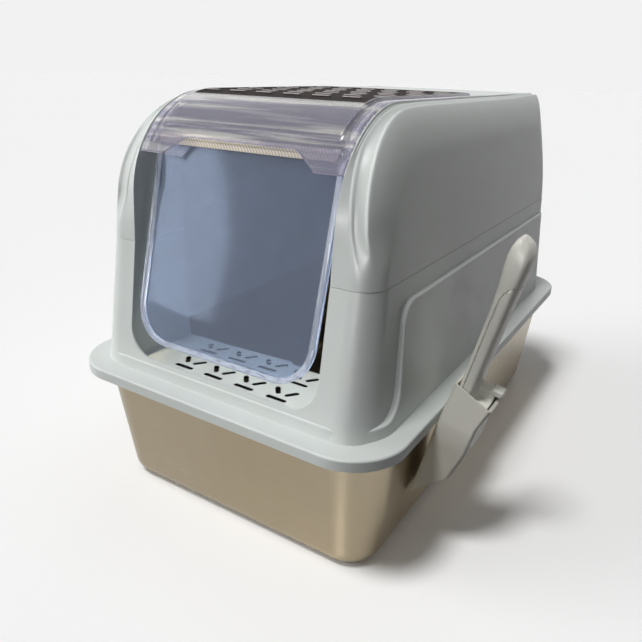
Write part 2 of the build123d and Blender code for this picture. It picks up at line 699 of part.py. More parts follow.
# ---------------------------------------------------------------- swing flap
def flap_frame():
    """Plane of the flap: origin on the rod, local Y down along the sheet."""
    tilt = radians(FLAP_TILT)
    return Plane(origin=(0, FLAP_ROD_Y, FLAP_ROD_Z), x_dir=(1, 0, 0), z_dir=(0, -cos(tilt), sin(tilt)))


def flap_outline(inset):
    """Sheet outline, square at the rod and rounded at the foot."""
    half = FLAP_WIDTH / 2 - inset
    foot = -FLAP_LENGTH + inset
    face = make_face(Polyline((-half, 0), (half, 0), (half, foot), (-half, foot), close=True))
    lower = face.vertices().sort_by(Axis.Y)[:2]
    return fillet(lower, FLAP_CORNER - inset)


def make_flap():
    sheet = extrude(flap_outline(0), amount=FLAP_THICKNESS / 2, both=True)
    ring = extrude(flap_outline(0), amount=FLAP_RIM_THICKNESS / 2, both=True)
    ring = ring - extrude(flap_outline(FLAP_RIM_WIDTH), amount=FLAP_RIM_THICKNESS, both=True)
    below_rail = RAIL_JAW_DEPTH + RAIL_END_GAP
    in_rail = Box(2 * rail_half_length(), 2 * below_rail + 2, 4 * FLAP_THICKNESS + 2)
    ring = ring - Box(2 * FLAP_WIDTH, 2 * below_rail, 4 * FLAP_RIM_THICKNESS)
    above = Box(2 * FLAP_WIDTH, 2 * FLAP_TOP_DROP, 4 * FLAP_THICKNESS)
    beside = Box(2 * FLAP_WIDTH, 2 * below_rail, 4 * FLAP_THICKNESS)
    return flap_frame() * (sheet + ring - above - (beside - in_rail))


def rail_half_length():
    """Half length of the rail between the bosses of the cover."""
    return COVER_HALF_WIDTH - LEDGE_WIDTH - COVER_THICKNESS - RAIL_END_GAP


def make_flap_rail():
    """Rail on the top edge of the flap: a barrel round the rod and two jaws round the sheet."""
    half = rail_half_length()
    jaws = Pos(0, -RAIL_JAW_DEPTH / 2, 0) * Box(2 * half, RAIL_JAW_DEPTH, RAIL_JAW_THICKNESS)
    slot_width = FLAP_THICKNESS + 2 * FLAP_SLOT_CLEARANCE
    slot_top = FLAP_TOP_DROP - FLAP_SLOT_CLEARANCE
    throat = Pos(0, -slot_top - RAIL_JAW_DEPTH, 0) * Box(2 * half + 2, 2 * RAIL_JAW_DEPTH, slot_width)
    barrel = rod_along_x(RAIL_BARREL_RADIUS, (-half, half), FLAP_ROD_Y, FLAP_ROD_Z)
    bore = rod_along_x(FLAP_ROD_RADIUS + HINGE_RUNNING, (-half - 1, half + 1), FLAP_ROD_Y, FLAP_ROD_Z)
    return flap_frame() * jaws + barrel - flap_frame() * throat - bore


def make_flap_rod():
    half = COVER_HALF_WIDTH - LEDGE_WIDTH
    return rod_along_x(FLAP_ROD_RADIUS, (-half, half), FLAP_ROD_Y, FLAP_ROD_Z)


def make_rod_cap(sign):
    """Push-on cap that stops the rod from sliding out."""
    face_x = COVER_HALF_WIDTH - LEDGE_WIDTH
    cap = rod_along_x(ROD_CAP_RADIUS, (face_x, face_x + ROD_CAP_THICKNESS), FLAP_ROD_Y, FLAP_ROD_Z)
    return mirror_to(sign, cap)


# ---------------------------------------------------------------- step
def slot(length, angle, x, y):
    """Upright slot cutter, centred on the step."""
    shape = extrude(SlotOverall(length, SLOT_WIDTH), amount=STEP_THICKNESS + 2 * STEP_RIB_DEPTH, both=True)
    return Pos(x, y, STEP_SEAT_HEIGHT) * Rot(0, 0, angle) * shape


def step_slots():
    cutters = []
    first_x = -SLOT_PITCH_X * (SLOT_COLUMNS - 1) / 2
    for column in range(SLOT_COLUMNS):
        for row in range(SLOT_ROWS):
            x = first_x + column * SLOT_PITCH_X
            y = SLOT_FIRST_ROW + row * SLOT_PITCH_Y
            cutters.append(slot(BASE_SLOT_LENGTH, 0, x, y))
            wing_y = y + WING_SLOT_OFFSET_Y
            cutters.append(slot(WING_SLOT_LENGTH, WING_SLOT_ANGLE, x + WING_SLOT_OFFSET_X, wing_y))
            cutters.append(slot(WING_SLOT_LENGTH, -WING_SLOT_ANGLE, x - WING_SLOT_OFFSET_X, wing_y))
    return cutters


def make_step():
    low = STEP_SEAT_HEIGHT
    plate = rounded_prism(STEP_WIDTH / 2, STEP_FRONT, STEP_REAR, STEP_CORNER, low, low + STEP_THICKNESS)
    top = low + STEP_THICKNESS
    plate = fillet(plate.edges().filter_by_position(Axis.Z, top - 0.01, top + 0.01), STEP_EDGE_ROUND)
    inset = STEP_RIB_INSET
    rib = rounded_prism(
        STEP_WIDTH / 2 - inset, STEP_FRONT + inset, STEP_REAR - inset, STEP_CORNER, low - STEP_RIB_DEPTH, low
    ) - rounded_prism(
        STEP_WIDTH / 2 - inset - STEP_RIB_THICKNESS,
        STEP_FRONT + inset + STEP_RIB_THICKNESS,
        STEP_REAR - inset - STEP_RIB_THICKNESS,
        STEP_CORNER - STEP_RIB_THICKNESS,
        low - STEP_RIB_DEPTH - 1,
        low + 1,
    )
    step = plate
    for cutter in step_slots():
        step = step - cutter
    return step + rib


# ---------------------------------------------------------------- scoop holder
def holder_frame():
    """Leaning frame: local Z up along the scoop, local X outwards, local Y along the box."""
    lean = radians(LEAN)
    origin_x = FLANGE_WIDTH / 2 + HOLDER_BACK_CLEARANCE + SKIRT_HEIGHT * tan(lean)
    return Plane(
        origin=(origin_x, HOLDER_CENTRE_Y, FLANGE_TOP),
        x_dir=(cos(lean), 0, -sin(lean)),
        z_dir=(sin(lean), 0, cos(lean)),
    )


def holder_outline(inset):
    """Side outline of the pocket in its own XZ plane."""
    cut = inset * 1.3
    return [
        (inset, HOLDER_MOUTH_INNER + 3 * inset),
        (HOLDER_MOUTH_DEPTH - inset, HOLDER_MOUTH_OUTER + 3 * inset),
        (HOLDER_WAIST_DEPTH - inset, 0),
        (HOLDER_WAIST_DEPTH - inset, HOLDER_SHOULDER_DROP / 2),
        (HOLDER_SHOULDER_DEPTH - inset, HOLDER_SHOULDER_DROP + cut / 2),
        (inset, HOLDER_TIP_DROP + 2 * cut),
    ]


def holder_solid(inset):
    """Pocket as a block, drawn in by a wall on every side but its mouth."""
    half = HOLDER_LENGTH_Y / 2 - inset
    face = make_face(Polyline(*[(x, 0, z) for x, z in holder_outline(inset)], close=True))
    body = extrude(Pos(0, -half, 0) * face, amount=2 * half, dir=(0, 1, 0))
    rim = HOLDER_MOUTH_INNER + 10
    slope = HOLDER_FACE_SETBACK / (HOLDER_MOUTH_INNER - HOLDER_FACE_BEND)
    wedge = make_face(
        Polyline(
            (0, -half, HOLDER_FACE_BEND),
            (0, -half + slope * (rim - HOLDER_FACE_BEND), rim),
            (0, -half - 20, rim),
            (0, -half - 20, HOLDER_FACE_BEND),
            close=True,
        )
    )
    return body - extrude(wedge, amount=BIG, dir=(1, 0, 0), both=True)


def make_scoop_holder():
    frame = holder_frame()
    pocket = frame * (holder_solid(0) - holder_solid(HOLDER_WALL))
    back = FLANGE_WIDTH / 2 + HOLDER_BACK_CLEARANCE
    arm = block(
        (back, back + HANGER_THICKNESS + 1.0),
        (HOLDER_CENTRE_Y, HANGER_REAR),
        (FLANGE_TOP - HANGER_DROP, FLANGE_TOP + SEAT_GAP + HANGER_THICKNESS),
    )
    lip = block(
        (back - HANGER_LIP_REACH, back + HANGER_THICKNESS),
        (HANGER_LIP_START, HANGER_REAR),
        (FLANGE_TOP + SEAT_GAP, FLANGE_TOP + SEAT_GAP + HANGER_THICKNESS),
    )
    inside = frame * holder_solid(HOLDER_WALL)
    return pocket + ((arm + lip) - inside)


# ---------------------------------------------------------------- scoop
def scoop_back():
    return HOLDER_WALL + SCOOP_CLEARANCE


def handle_block(x_range, z_range):
    """Upright slice of the handle, in the holder's frame."""
    half = HANDLE_WIDTH / 2
    return block(x_range, (HANDLE_CENTRE_Y - half, HANDLE_CENTRE_Y + half), z_range)


def scoop_head():
    """Slotted trough that fills the lower part of the pocket."""
    back = scoop_back()
    inset = HOLDER_WALL + SCOOP_CLEARANCE
    profile = [(back, HEAD_TOP), (HOLDER_WAIST_DEPTH - inset, HEAD_TOP)] + holder_outline(inset)[3:]
    face = make_face(Polyline(*[(x, 0, z) for x, z in profile], close=True))
    half = HANDLE_WIDTH / 2
    head = extrude(Pos(0, HANDLE_CENTRE_Y - half, 0) * face, amount=2 * half, dir=(0, 1, 0))
    low = HOLDER_TIP_DROP
    hollow = block(
        (back + HEAD_WALL, HOLDER_MOUTH_DEPTH),
        (HANDLE_CENTRE_Y - half + HEAD_WALL, HANDLE_CENTRE_Y + half - HEAD_WALL),
        (low, HEAD_TOP - HEAD_WALL),
    )
    head = head - hollow
    first = HANDLE_CENTRE_Y - HEAD_SLOT_PITCH * (HEAD_SLOT_COUNT - 1) / 2
    for index in range(HEAD_SLOT_COUNT):
        y = first + index * HEAD_SLOT_PITCH
        head = head - block(
            (back - 1, back + HEAD_WALL + 1),
            (y - HEAD_SLOT_WIDTH / 2, y + HEAD_SLOT_WIDTH / 2),
            (HEAD_SLOT_FOOT, HEAD_SLOT_FOOT + HEAD_SLOT_LENGTH),
        )
    return head


def make_scoop():
    back = scoop_back()
    spine = handle_block((back, back + SPINE_DEPTH), (HEAD_TOP - HEAD_WALL, HANDLE_TOP - HANDLE_ROUND))
    nose = handle_block((back, back + HANDLE_DEPTH), (GRIP_TOP, HANDLE_TOP))
    nose = fillet(nose.edges().filter_by(Axis.Z), HANDLE_ROUND)
    crown = nose.edges().filter_by_position(Axis.Z, HANDLE_TOP - 0.01, HANDLE_TOP + 0.01)
    nose = fillet(crown, HANDLE_ROUND - 1)
    return holder_frame() * (spine + nose + scoop_head())


def make_scoop_grip():
    back = scoop_back() + SPINE_DEPTH
    grip = handle_block((back, scoop_back() + HANDLE_DEPTH), (GRIP_BOTTOM, GRIP_TOP - GRIP_GAP))
    outer = grip.edges().filter_by(Axis.Z).group_by(Axis.X)[-1]
    return holder_frame() * fillet(outer, HANDLE_ROUND)


# ---------------------------------------------------------------- output
def build():
    """All pieces by node name."""
    return {
        "litter_pan": make_litter_pan(),
        "lower_shell": make_lower_shell(),
        "upper_hood": make_upper_hood(),
        "clear_cover": make_clear_cover(),
        "cover_hinge_pin_right": make_hinge_pin(1),
        "cover_hinge_pin_left": make_hinge_pin(-1),
        "swing_flap": make_flap(),
        "flap_hinge_rail": make_flap_rail(),
        "flap_rod": make_flap_rod(),
        "flap_rod_cap_right": make_rod_cap(1),
        "flap_rod_cap_left": make_rod_cap(-1),
        "entry_step": make_step(),
        "scoop_holder": make_scoop_holder(),
        "scoop": make_scoop(),
        "scoop_grip": make_scoop_grip(),
    }


def main():
    os.makedirs("parts", exist_ok=True)
    for name, shape in build().items():
        export_step(shape, f"parts/{name}.step")
        print(name, len(shape.solids()), round(shape.volume / 1000, 1), "cm3")


if __name__ == "__main__":
    main()
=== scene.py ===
"""Enclosed litter box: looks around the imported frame, in metres."""

import logging
from collections.abc import Sequence
from dataclasses import dataclass, field
from enum import Enum
from math import atan, copysign, cos, pi, radians, sin, tan

import bmesh
import bpy
from mathutils import Matrix, Vector


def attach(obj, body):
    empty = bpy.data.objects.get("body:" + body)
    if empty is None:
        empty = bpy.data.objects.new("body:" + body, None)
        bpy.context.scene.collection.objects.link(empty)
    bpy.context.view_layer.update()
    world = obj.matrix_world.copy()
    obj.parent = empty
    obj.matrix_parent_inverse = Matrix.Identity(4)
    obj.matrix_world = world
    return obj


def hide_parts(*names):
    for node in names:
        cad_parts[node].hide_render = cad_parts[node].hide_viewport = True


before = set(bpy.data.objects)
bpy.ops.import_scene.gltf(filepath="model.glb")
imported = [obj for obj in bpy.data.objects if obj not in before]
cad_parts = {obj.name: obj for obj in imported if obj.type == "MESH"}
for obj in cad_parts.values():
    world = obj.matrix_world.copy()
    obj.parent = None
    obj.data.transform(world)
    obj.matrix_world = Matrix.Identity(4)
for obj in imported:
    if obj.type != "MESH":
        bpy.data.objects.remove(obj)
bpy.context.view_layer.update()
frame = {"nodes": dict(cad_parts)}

LOG = logging.getLogger("litter_box")
# Distances that count as nothing: between CAD vertices, in modelling and above the hood's foot.
MERGE, TINY, NEAR = 2e-6, 1e-6, 1e-5

Colour = tuple[float, float, float]
Point = tuple[float, float, float]
Pair = tuple[float, float]
Pairs = tuple[Pair, ...]
Rounding = tuple[float, int]
Socket = bpy.types.NodeSocket
Material = bpy.types.Material
Shape = bmesh.types.BMesh


def shade(red: int, green: int, blue: int) -> Colour:
    """Linear colour of an 8-bit display colour."""
    return tuple(((c / 255 + 0.055) / 1.055) ** 2.4 for c in (red, green, blue))


def scaled(colour: Colour, factor: float) -> Colour:
    """The colour made lighter or darker."""
    return tuple(min(1.0, c * factor) for c in colour)


def tinged(colour: Colour, tint: Colour) -> Colour:
    """The colour multiplied by a tint."""
    return tuple(c * t for c, t in zip(colour, tint))


def eased(value: float, start: float, span: float) -> float:
    """How far a value is along a span, eased between 0 and 1."""
    share = min(1.0, max(0.0, (value - start) / span))
    return share * share * (3 - 2 * share)


def linked(name: str, data: bpy.types.ID) -> bpy.types.Object:
    """Puts data in the scene.

    Args:
        name: the object's name.
        data: its mesh, light or camera.

    Returns:
        The object.
    """
    made = bpy.data.objects.new(name, data)
    bpy.context.scene.collection.objects.link(made)
    return made


def whole(shape: Shape) -> list:
    """Everything in a shape, for an operator."""
    return shape.verts[:] + shape.edges[:] + shape.faces[:]


def verts_of(geometry: list) -> list[bmesh.types.BMVert]:
    """The vertices among an operator's results."""
    return [item for item in geometry if isinstance(item, bmesh.types.BMVert)]


def faces_of(geometry: list) -> list[bmesh.types.BMFace]:
    """The faces among an operator's results."""
    return [item for item in geometry if isinstance(item, bmesh.types.BMFace)]


def add_bar(shape: Shape, low: Point, high: Point) -> None:
    """Adds a square-edged bar between its lowest and highest corners."""
    middle, size = (Vector(high) + Vector(low)) / 2, Vector(high) - Vector(low)
    bmesh.ops.create_cube(shape, size=1.0, matrix=Matrix.LocRotScale(middle, None, size))


def drawn_out(shape: Shape, outline: Sequence[Pair], start: float) -> list[bmesh.types.BMVert]:
    """Draws a side outline at an X, extrudes it and returns the vertices that are to be moved out."""
    face = shape.faces.new([shape.verts.new((start, y, z)) for y, z in outline])
    return verts_of(bmesh.ops.extrude_face_region(shape, geom=[face])["geom"])


def turn_outward(shape: Shape) -> Shape:
    """Turns all faces of a shape outward and returns it."""
    bmesh.ops.recalc_face_normals(shape, faces=shape.faces)
    return shape


def round_edges(shape: Shape, edges: list[bmesh.types.BMEdge], rounding: Rounding) -> None:
    """Bevels some of a shape's edges by a width and a number of segments."""
    width, segments = rounding
    bmesh.ops.bevel(shape, geom=edges, offset=width, segments=segments, profile=0.5, material=-1,
                    affect="EDGES")


class Body(Enum):
    """Bodies that pieces ride on, each with its name in the frame and its material slot."""

    HOOD = ("hood", "shell_grey")
    COVER = ("cover", "clear_plastic")
    FLAP = ("flap", "flap_plastic")
    SCOOP = ("scoop", "scoop_grey")
    HOLDER = ("holder", "holder_grey")


class Reach(Enum):
    """What a lamp acts on."""

    EVERYTHING = "everything"
    SHADING = "shading, and nothing in gloss"
    GLOSS = "gloss only"


@dataclass(frozen=True)
class Pattern:
    """Noise: features per metre, octaves, and how its coordinates are stretched and turned."""

    scale: float
    detail: float
    stretch: Point | None = None
    turn: Point = (0, 0, 0)


class NodeGraph:
    """Adds nodes to one node tree."""

    def __init__(self, tree: bpy.types.NodeTree) -> None:
        """Takes a tree and empties it."""
        self.tree = tree
        self.tree.nodes.clear()

    def add(self, kind: str, inputs: dict | None = None, **settings: object) -> bpy.types.Node:
        """Adds a node, sets its options, and sets or links its inputs.

        Args:
            kind: node type without its ShaderNode prefix.
            inputs: socket name or index to a value or an output socket.
            settings: attributes of the node.

        Returns:
            The new node.
        """
        node = self.tree.nodes.new("ShaderNode" + kind)
        for key, value in settings.items():
            setattr(node, key, value)
        for key, value in (inputs or {}).items():
            if isinstance(value, Socket):
                self.tree.links.new(value, node.inputs[key])
            elif isinstance(value, tuple) and node.inputs[key].type == "RGBA":
                node.inputs[key].default_value = (*value, 1.0)
            else:
                node.inputs[key].default_value = value
        return node

    def ramp(self, factor: Socket, low: float, high: float, start: float = 0.3,
             end: float = 0.7) -> Socket:
        """Maps a factor between start and end to a value between low and high."""
        sockets = {"Value": factor, "From Min": start, "From Max": end, "To Min": low, "To Max": high}
        return self.add("MapRange", sockets).outputs[0]

    def blend(self, factor: Socket, first: Socket | Colour, second: Socket | Colour) -> Socket:
        """Mixes two colours."""
        return self.add("Mix", {0: factor, 6: first, 7: second}, data_type="RGBA").outputs[2]

    def math(self, operation: str, first: Socket | float, second: Socket | float = 0.0) -> Socket:
        """One Math node."""
        return self.add("Math", {0: first, 1: second}, operation=operation).outputs[0]

    def mixed(self, first: Socket, second: Socket, shares: Pair) -> Socket:
        """Adds two values up by their shares."""
        return self.math("ADD", *(self.math("MULTIPLY", *both) for both in zip((first, second), shares)))


class MaterialGraph(NodeGraph):
    """Builds one material, with its patterns on Object coordinates."""

    def __init__(self, name: str) -> None:
        """Starts an empty material.

        Args:
            name: the material's name.
        """
        self.material = bpy.data.materials.new(name)
        self.material.use_nodes = True
        super().__init__(self.material.node_tree)
        self.place = self.add("TexCoord").outputs["Object"]

    def axes(self) -> list[Socket]:
        """The X, Y and Z of the place."""
        return list(self.add("SeparateXYZ", {0: self.place}).outputs)

    def noise(self, pattern: Pattern) -> Socket:
        """Draws a pattern.

        Args:
            pattern: what the noise is like.

        Returns:
            Its factor, between 0 and 1.
        """
        where = self.place
        if pattern.stretch:
            stretched = {"Vector": where, "Scale": pattern.stretch, "Rotation": pattern.turn}
            where = self.add("Mapping", stretched).outputs[0]
        sockets = {"Vector": where, "Scale": pattern.scale, "Detail": pattern.detail}
        return self.add("TexNoise", sockets).outputs["Fac"]

    def bump(self, height: Socket, relief: Pair) -> Socket:
        """Bump normal from a height, with its strength and its depth in metres."""
        return self.add("Bump", {"Height": height, "Strength": relief[0], "Distance": relief[1]}).outputs[0]

    def finish(self, shader: bpy.types.Node) -> Material:
        """Links the shader to the output and returns the material."""
        self.add("OutputMaterial", {0: shader.outputs[0]})
        return self.material


@dataclass(frozen=True)
class Finish:
    """A named material with one main colour."""

    name: str
    colour: Colour

    def build(self) -> Material:
        """Makes the material."""
        raise NotImplementedError

    def patterned(self, graph: MaterialGraph, base: Socket) -> Socket:
        """The colour as it is, for finishes that add to it."""
        return base

    def spread(self, graph: MaterialGraph, factor: Socket, low: float, high: float) -> Socket:
        """The main colour, darker and lighter by a pattern."""
        dark, light = scaled(self.colour, low), scaled(self.colour, high)
        return graph.blend(graph.ramp(factor, 0.0, 1.0), dark, light)


@dataclass(frozen=True)
class MouldedPlastic(Finish):
    """Opaque injection-moulded plastic with a fine texture, flow marks and handling marks."""

    roughness: float = 0.36
    rough_spread: Pair = (-0.03, 0.04)
    gloss: float = 0.4
    coat: float = 0.06
    coat_roughness: float = 0.25
    flow: Pattern = Pattern(5.0, 2.0)
    flow_spread: Pair = (0.95, 1.05)
    cloud: Pattern = Pattern(38.0, 4.0)
    warm: Colour = (1.0, 0.985, 0.955)
    warm_share: float = 0.55
    speck: Pattern = Pattern(1500.0, 2.0)
    speck_share: float = 0.16
    grain_scale: float = 1100.0
    relief_shares: Pair = (0.7, 0.6)
    relief: Pair = (0.35, 0.00005)
    scuffs: Pattern = Pattern(130.0, 5.0, (1.0, 0.18, 2.6), (0.3, 0.2, 0.5))
    scuff_band: Pair = (0.55, 0.75)
    scuff_roughness: float = 0.09

    def build(self) -> Material:
        """Draws the material's nodes.

        Returns:
            The material.
        """
        graph = MaterialGraph(self.name)
        cloud, speck = graph.noise(self.cloud), graph.noise(self.speck)
        base = self.spread(graph, graph.noise(self.flow), *self.flow_spread)
        base = graph.blend(graph.ramp(cloud, 0.0, self.warm_share), base, tinged(self.colour, self.warm))
        dark = scaled(self.colour, self.flow_spread[0])
        base = graph.blend(graph.ramp(speck, 0.0, self.speck_share), base, dark)
        scuffs = graph.ramp(graph.noise(self.scuffs), 0.0, self.scuff_roughness, *self.scuff_band)
        rough = graph.ramp(cloud, *(self.roughness + s for s in self.rough_spread))
        grain = graph.add("TexVoronoi", {"Vector": graph.place, "Scale": self.grain_scale})
        height = graph.mixed(grain.outputs["Distance"], speck, self.relief_shares)
        return graph.finish(graph.add("BsdfPrincipled", {
            "Base Color": self.patterned(graph, base), "Roughness": graph.math("ADD", rough, scuffs),
            "Normal": graph.bump(height, self.relief), "Specular IOR Level": self.gloss,
            "Coat Weight": self.coat, "Coat Roughness": self.coat_roughness,
        }))


@dataclass(frozen=True)
class SlottedPlastic(MouldedPlastic):
    """Moulded plastic with painted shade in its slots, below their rims."""

    slots_low: Point = (-0.104, -0.2725, 0.0)
    slots_high: Point = (0.104, -0.2, 0.1625)
    painted_slot_shade: Colour = (0.012, 0.012, 0.011)

    def patterned(self, graph: MaterialGraph, base: Socket) -> Socket:
        """Paints shade over what lies inside the box of the slots.

        Args:
            graph: the material's graph.
            base: the colour so far.

        Returns:
            The colour with painted shade in the slots.
        """
        inside = 1.0
        for place, low, high in zip(graph.axes(), self.slots_low, self.slots_high):
            within = graph.math("MULTIPLY", graph.math("GREATER_THAN", place, low),
                                graph.math("LESS_THAN", place, high))
            inside = graph.math("MULTIPLY", inside, within)
        # Painted shade: near-black below the slot rims.
        return graph.blend(inside, base, self.painted_slot_shade)


@dataclass(frozen=True)
class RibbedPlastic(MouldedPlastic):
    """Moulded plastic with fine slanting ribs whose valleys get painted shade."""

    pitch: float = 0.0034
    slant: float = 0.7
    painted_valley_shade: float = 0.62
    painted_valley_band: Pair = (-0.2, 0.7)

    def patterned(self, graph: MaterialGraph, base: Socket) -> Socket:
        """Paints shade into the valleys between the ribs.

        Args:
            graph: the material's graph.
            base: the colour so far.

        Returns:
            The colour with painted shade in the rib valleys.
        """
        x, _, z = graph.axes()
        along = graph.math("ADD", x, graph.math("MULTIPLY", z, self.slant))
        wave = graph.math("SINE", graph.math("MULTIPLY", along, 2 * pi / self.pitch))
        # Painted shade: darker where the wave dips, in the rib valleys.
        return graph.blend(graph.ramp(wave, 0.0, 1.0, *self.painted_valley_band), base,
                           scaled(self.colour, self.painted_valley_shade))


@dataclass(frozen=True)
class BrushedSteel(Finish):
    """Stainless sheet with a long brushed grain, smudges and faint drawing lines."""

    roughness: float = 0.27
    rough_spread: Pair = (-0.02, 0.03)
    anisotropy: float = 0.8
    anisotropy_turn: float = 0.25
    long_grain: Pattern = Pattern(7.0, 3.0, (1.0, 1.0, 60.0))
    long_spread: Pair = (0.97, 1.03)
    fine_grain: Pattern = Pattern(30.0, 3.0, (1.0, 1.0, 70.0))
    relief_shares: Pair = (0.6, 0.4)
    relief: Pair = (0.06, 0.0001)
    smudge: Pattern = Pattern(9.0, 3.0)
    smudge_tint: Colour = (1.08, 1.0, 0.88)
    smudge_share: float = 0.4
    smudge_roughness: float = 0.1
    drawn: Pattern = Pattern(14.0, 2.0, (4.0, 4.0, 0.25))
    drawn_shade: float = 0.8
    drawn_share: float = 0.2

    def build(self) -> Material:
        """Draws the material's nodes.

        Returns:
            The material.
        """
        graph = MaterialGraph(self.name)
        long_grain, fine_grain = graph.noise(self.long_grain), graph.noise(self.fine_grain)
        smudge, drawn = graph.noise(self.smudge), graph.noise(self.drawn)
        base = self.spread(graph, long_grain, *self.long_spread)
        base = graph.blend(graph.ramp(drawn, 0.0, self.drawn_share), base,
                           scaled(self.colour, self.drawn_shade))
        base = graph.blend(graph.ramp(smudge, 0.0, self.smudge_share), base,
                           tinged(self.colour, self.smudge_tint))
        rough = graph.math("ADD", graph.ramp(fine_grain, *(self.roughness + s for s in self.rough_spread)),
                           graph.ramp(smudge, 0.0, self.smudge_roughness))
        return graph.finish(graph.add("BsdfPrincipled", {
            "Base Color": base, "Metallic": 1.0, "Roughness": rough,
            "Normal": graph.bump(graph.mixed(fine_grain, long_grain, self.relief_shares), self.relief),
            "Anisotropic": self.anisotropy, "Anisotropic Rotation": self.anisotropy_turn,
        }))


@dataclass(frozen=True)
class ClearSheet(Finish):
    """Clear tinted plastic with a slight haze and ripple, which lets lamps through."""

    roughness: float = 0.03
    clearness: float = 1.0
    shadow: Colour = (0.86, 0.88, 0.92)
    refraction: float = 1.49
    haze: Pattern = Pattern(60.0, 4.0)
    haze_spread: Pair = (1.0, 0.94)
    haze_roughness: float = 0.03
    ripple: Pattern = Pattern(16.0, 2.0, (0.35, 1.0, 1.0))
    relief: Pair = (0.5, 0.0006)

    def build(self) -> Material:
        """Draws the material's nodes.

        Returns:
            The material.
        """
        graph = MaterialGraph(self.name)
        haze = graph.noise(self.haze)
        base = self.patterned(graph, self.spread(graph, haze, *self.haze_spread))
        glass = graph.add("BsdfPrincipled", {
            "Base Color": base, "IOR": self.refraction, "Transmission Weight": self.clearness,
            "Roughness": graph.ramp(haze, self.roughness, self.roughness + self.haze_roughness),
            "Normal": graph.bump(graph.noise(self.ripple), self.relief),
        })
        through = graph.add("BsdfTransparent", {"Color": self.shadow})
        shadowed = graph.add("LightPath").outputs["Is Shadow Ray"]
        both = {0: shadowed, 1: glass.outputs[0], 2: through.outputs[0]}
        return graph.finish(graph.add("MixShader", both))


@dataclass(frozen=True)
class ReflectionStreakedSheet(ClearSheet):
    """Clear sheet with painted reflections: pale streaks across its front."""

    painted_reflection: Colour = (1.0, 0.98, 0.93)
    painted_reflection_share: float = 0.9
    painted_reflection_streaks: Pattern = Pattern(110.0, 4.0, (0.05, 1.0, 1.0))
    painted_reflection_band: Pair = (0.5, 0.57)
    painted_reflection_end: Pair = (-0.185, -0.165)

    def patterned(self, graph: MaterialGraph, base: Socket) -> Socket:
        """The colour with the painted reflection streaks over it, as far back as their end."""
        shares = (graph.ramp(graph.axes()[1], 1.0, 0.0, *self.painted_reflection_end),
                  graph.ramp(graph.noise(self.painted_reflection_streaks), 0.0, self.painted_reflection_share, *self.painted_reflection_band))
        return graph.blend(graph.math("MULTIPLY", *shares), base, self.painted_reflection)


@dataclass(frozen=True)
class PolishedPin(Finish):
    """Bright steel rod with turning marks."""

    turning: Pattern = Pattern(700.0, 2.0, (1.0, 0.05, 0.05))
    turning_spread: Pair = (0.9, 1.08)
    roughness: Pair = (0.18, 0.3)
    relief: Pair = (0.2, 0.00003)

    def build(self) -> Material:
        """Draws the material's nodes.

        Returns:
            The material.
        """
        graph = MaterialGraph(self.name)
        turned = graph.noise(self.turning)
        return graph.finish(graph.add("BsdfPrincipled", {
            "Base Color": self.spread(graph, turned, *self.turning_spread), "Metallic": 1.0,
            "Roughness": graph.ramp(turned, *self.roughness), "Normal": graph.bump(turned, self.relief),
        }))


SHELL = MouldedPlastic("shell_plastic", shade(206, 211, 209), gloss=0.3)
STEEL = BrushedSteel("pan_steel", shade(162, 151, 130))
# The cover's pale streaks are painted reflections on its front arch.
COVER = ReflectionStreakedSheet("cover_clear", (0.44, 0.43, 0.525), clearness=0.82, shadow=(0.72, 0.72, 0.74))
FLAP = ClearSheet("flap_clear", (0.39, 0.475, 0.64), roughness=0.04, clearness=0.88,
                  shadow=(0.74, 0.76, 0.79))
DARK_TOP = MouldedPlastic("cover_dark_top", shade(64, 59, 58), roughness=0.3, gloss=0.0)
VENT = MouldedPlastic("vent_frost", shade(186, 182, 180), roughness=0.35, gloss=0.1)
FLAP_RIM = ClearSheet("flap_rim", (0.66, 0.71, 0.82), roughness=0.1, clearness=0.72,
                      shadow=(0.8, 0.82, 0.86))
# The rail's rib valleys get painted shade.
RAIL = RibbedPlastic("rail_plastic", shade(196, 188, 172), roughness=0.3)
# The step's slots get painted shade below their rims.
STEP = SlottedPlastic("step_plastic", shade(220, 219, 204), roughness=0.4)
HOLDER = MouldedPlastic("holder_plastic", shade(201, 199, 189), roughness=0.42)
SCOOP = MouldedPlastic("scoop_plastic", shade(231, 230, 221), roughness=0.42)
PIN = PolishedPin("pin_steel", shade(200, 200, 198))


@dataclass(frozen=True)
class Lamp:
    """A sun lamp: its place, strength, spread in degrees, reach and target."""

    name: str
    place: Point
    strength: float
    spread: float
    reach: Reach = Reach.SHADING
    target: Point = (0.0, 0.0, 0.2)

    def add(self) -> None:
        """Adds the lamp to the scene."""
        data = bpy.data.lights.new(self.name, "SUN")
        data.energy = self.strength
        data.angle = radians(self.spread)
        lamp = linked(self.name, data)
        lamp.location = self.place
        lamp.rotation_mode = "QUATERNION"
        lamp.rotation_quaternion = (Vector(self.target) - Vector(self.place)).to_track_quat("-Z", "Y")
        lamp.visible_glossy = self.reach is not Reach.SHADING
        lamp.visible_diffuse = lamp.visible_transmission = self.reach is not Reach.GLOSS
        if self.reach is Reach.GLOSS:
            # Its glare isn't thrown on the floor by what reflects it.
            data.use_nodes = True
            graph = NodeGraph(data.node_tree)
            direct = graph.math("LESS_THAN", graph.add("LightPath").outputs["Diffuse Depth"], 0.5)
            graph.add("OutputLight", {0: graph.add("Emission", {"Strength": direct}).outputs[0]})


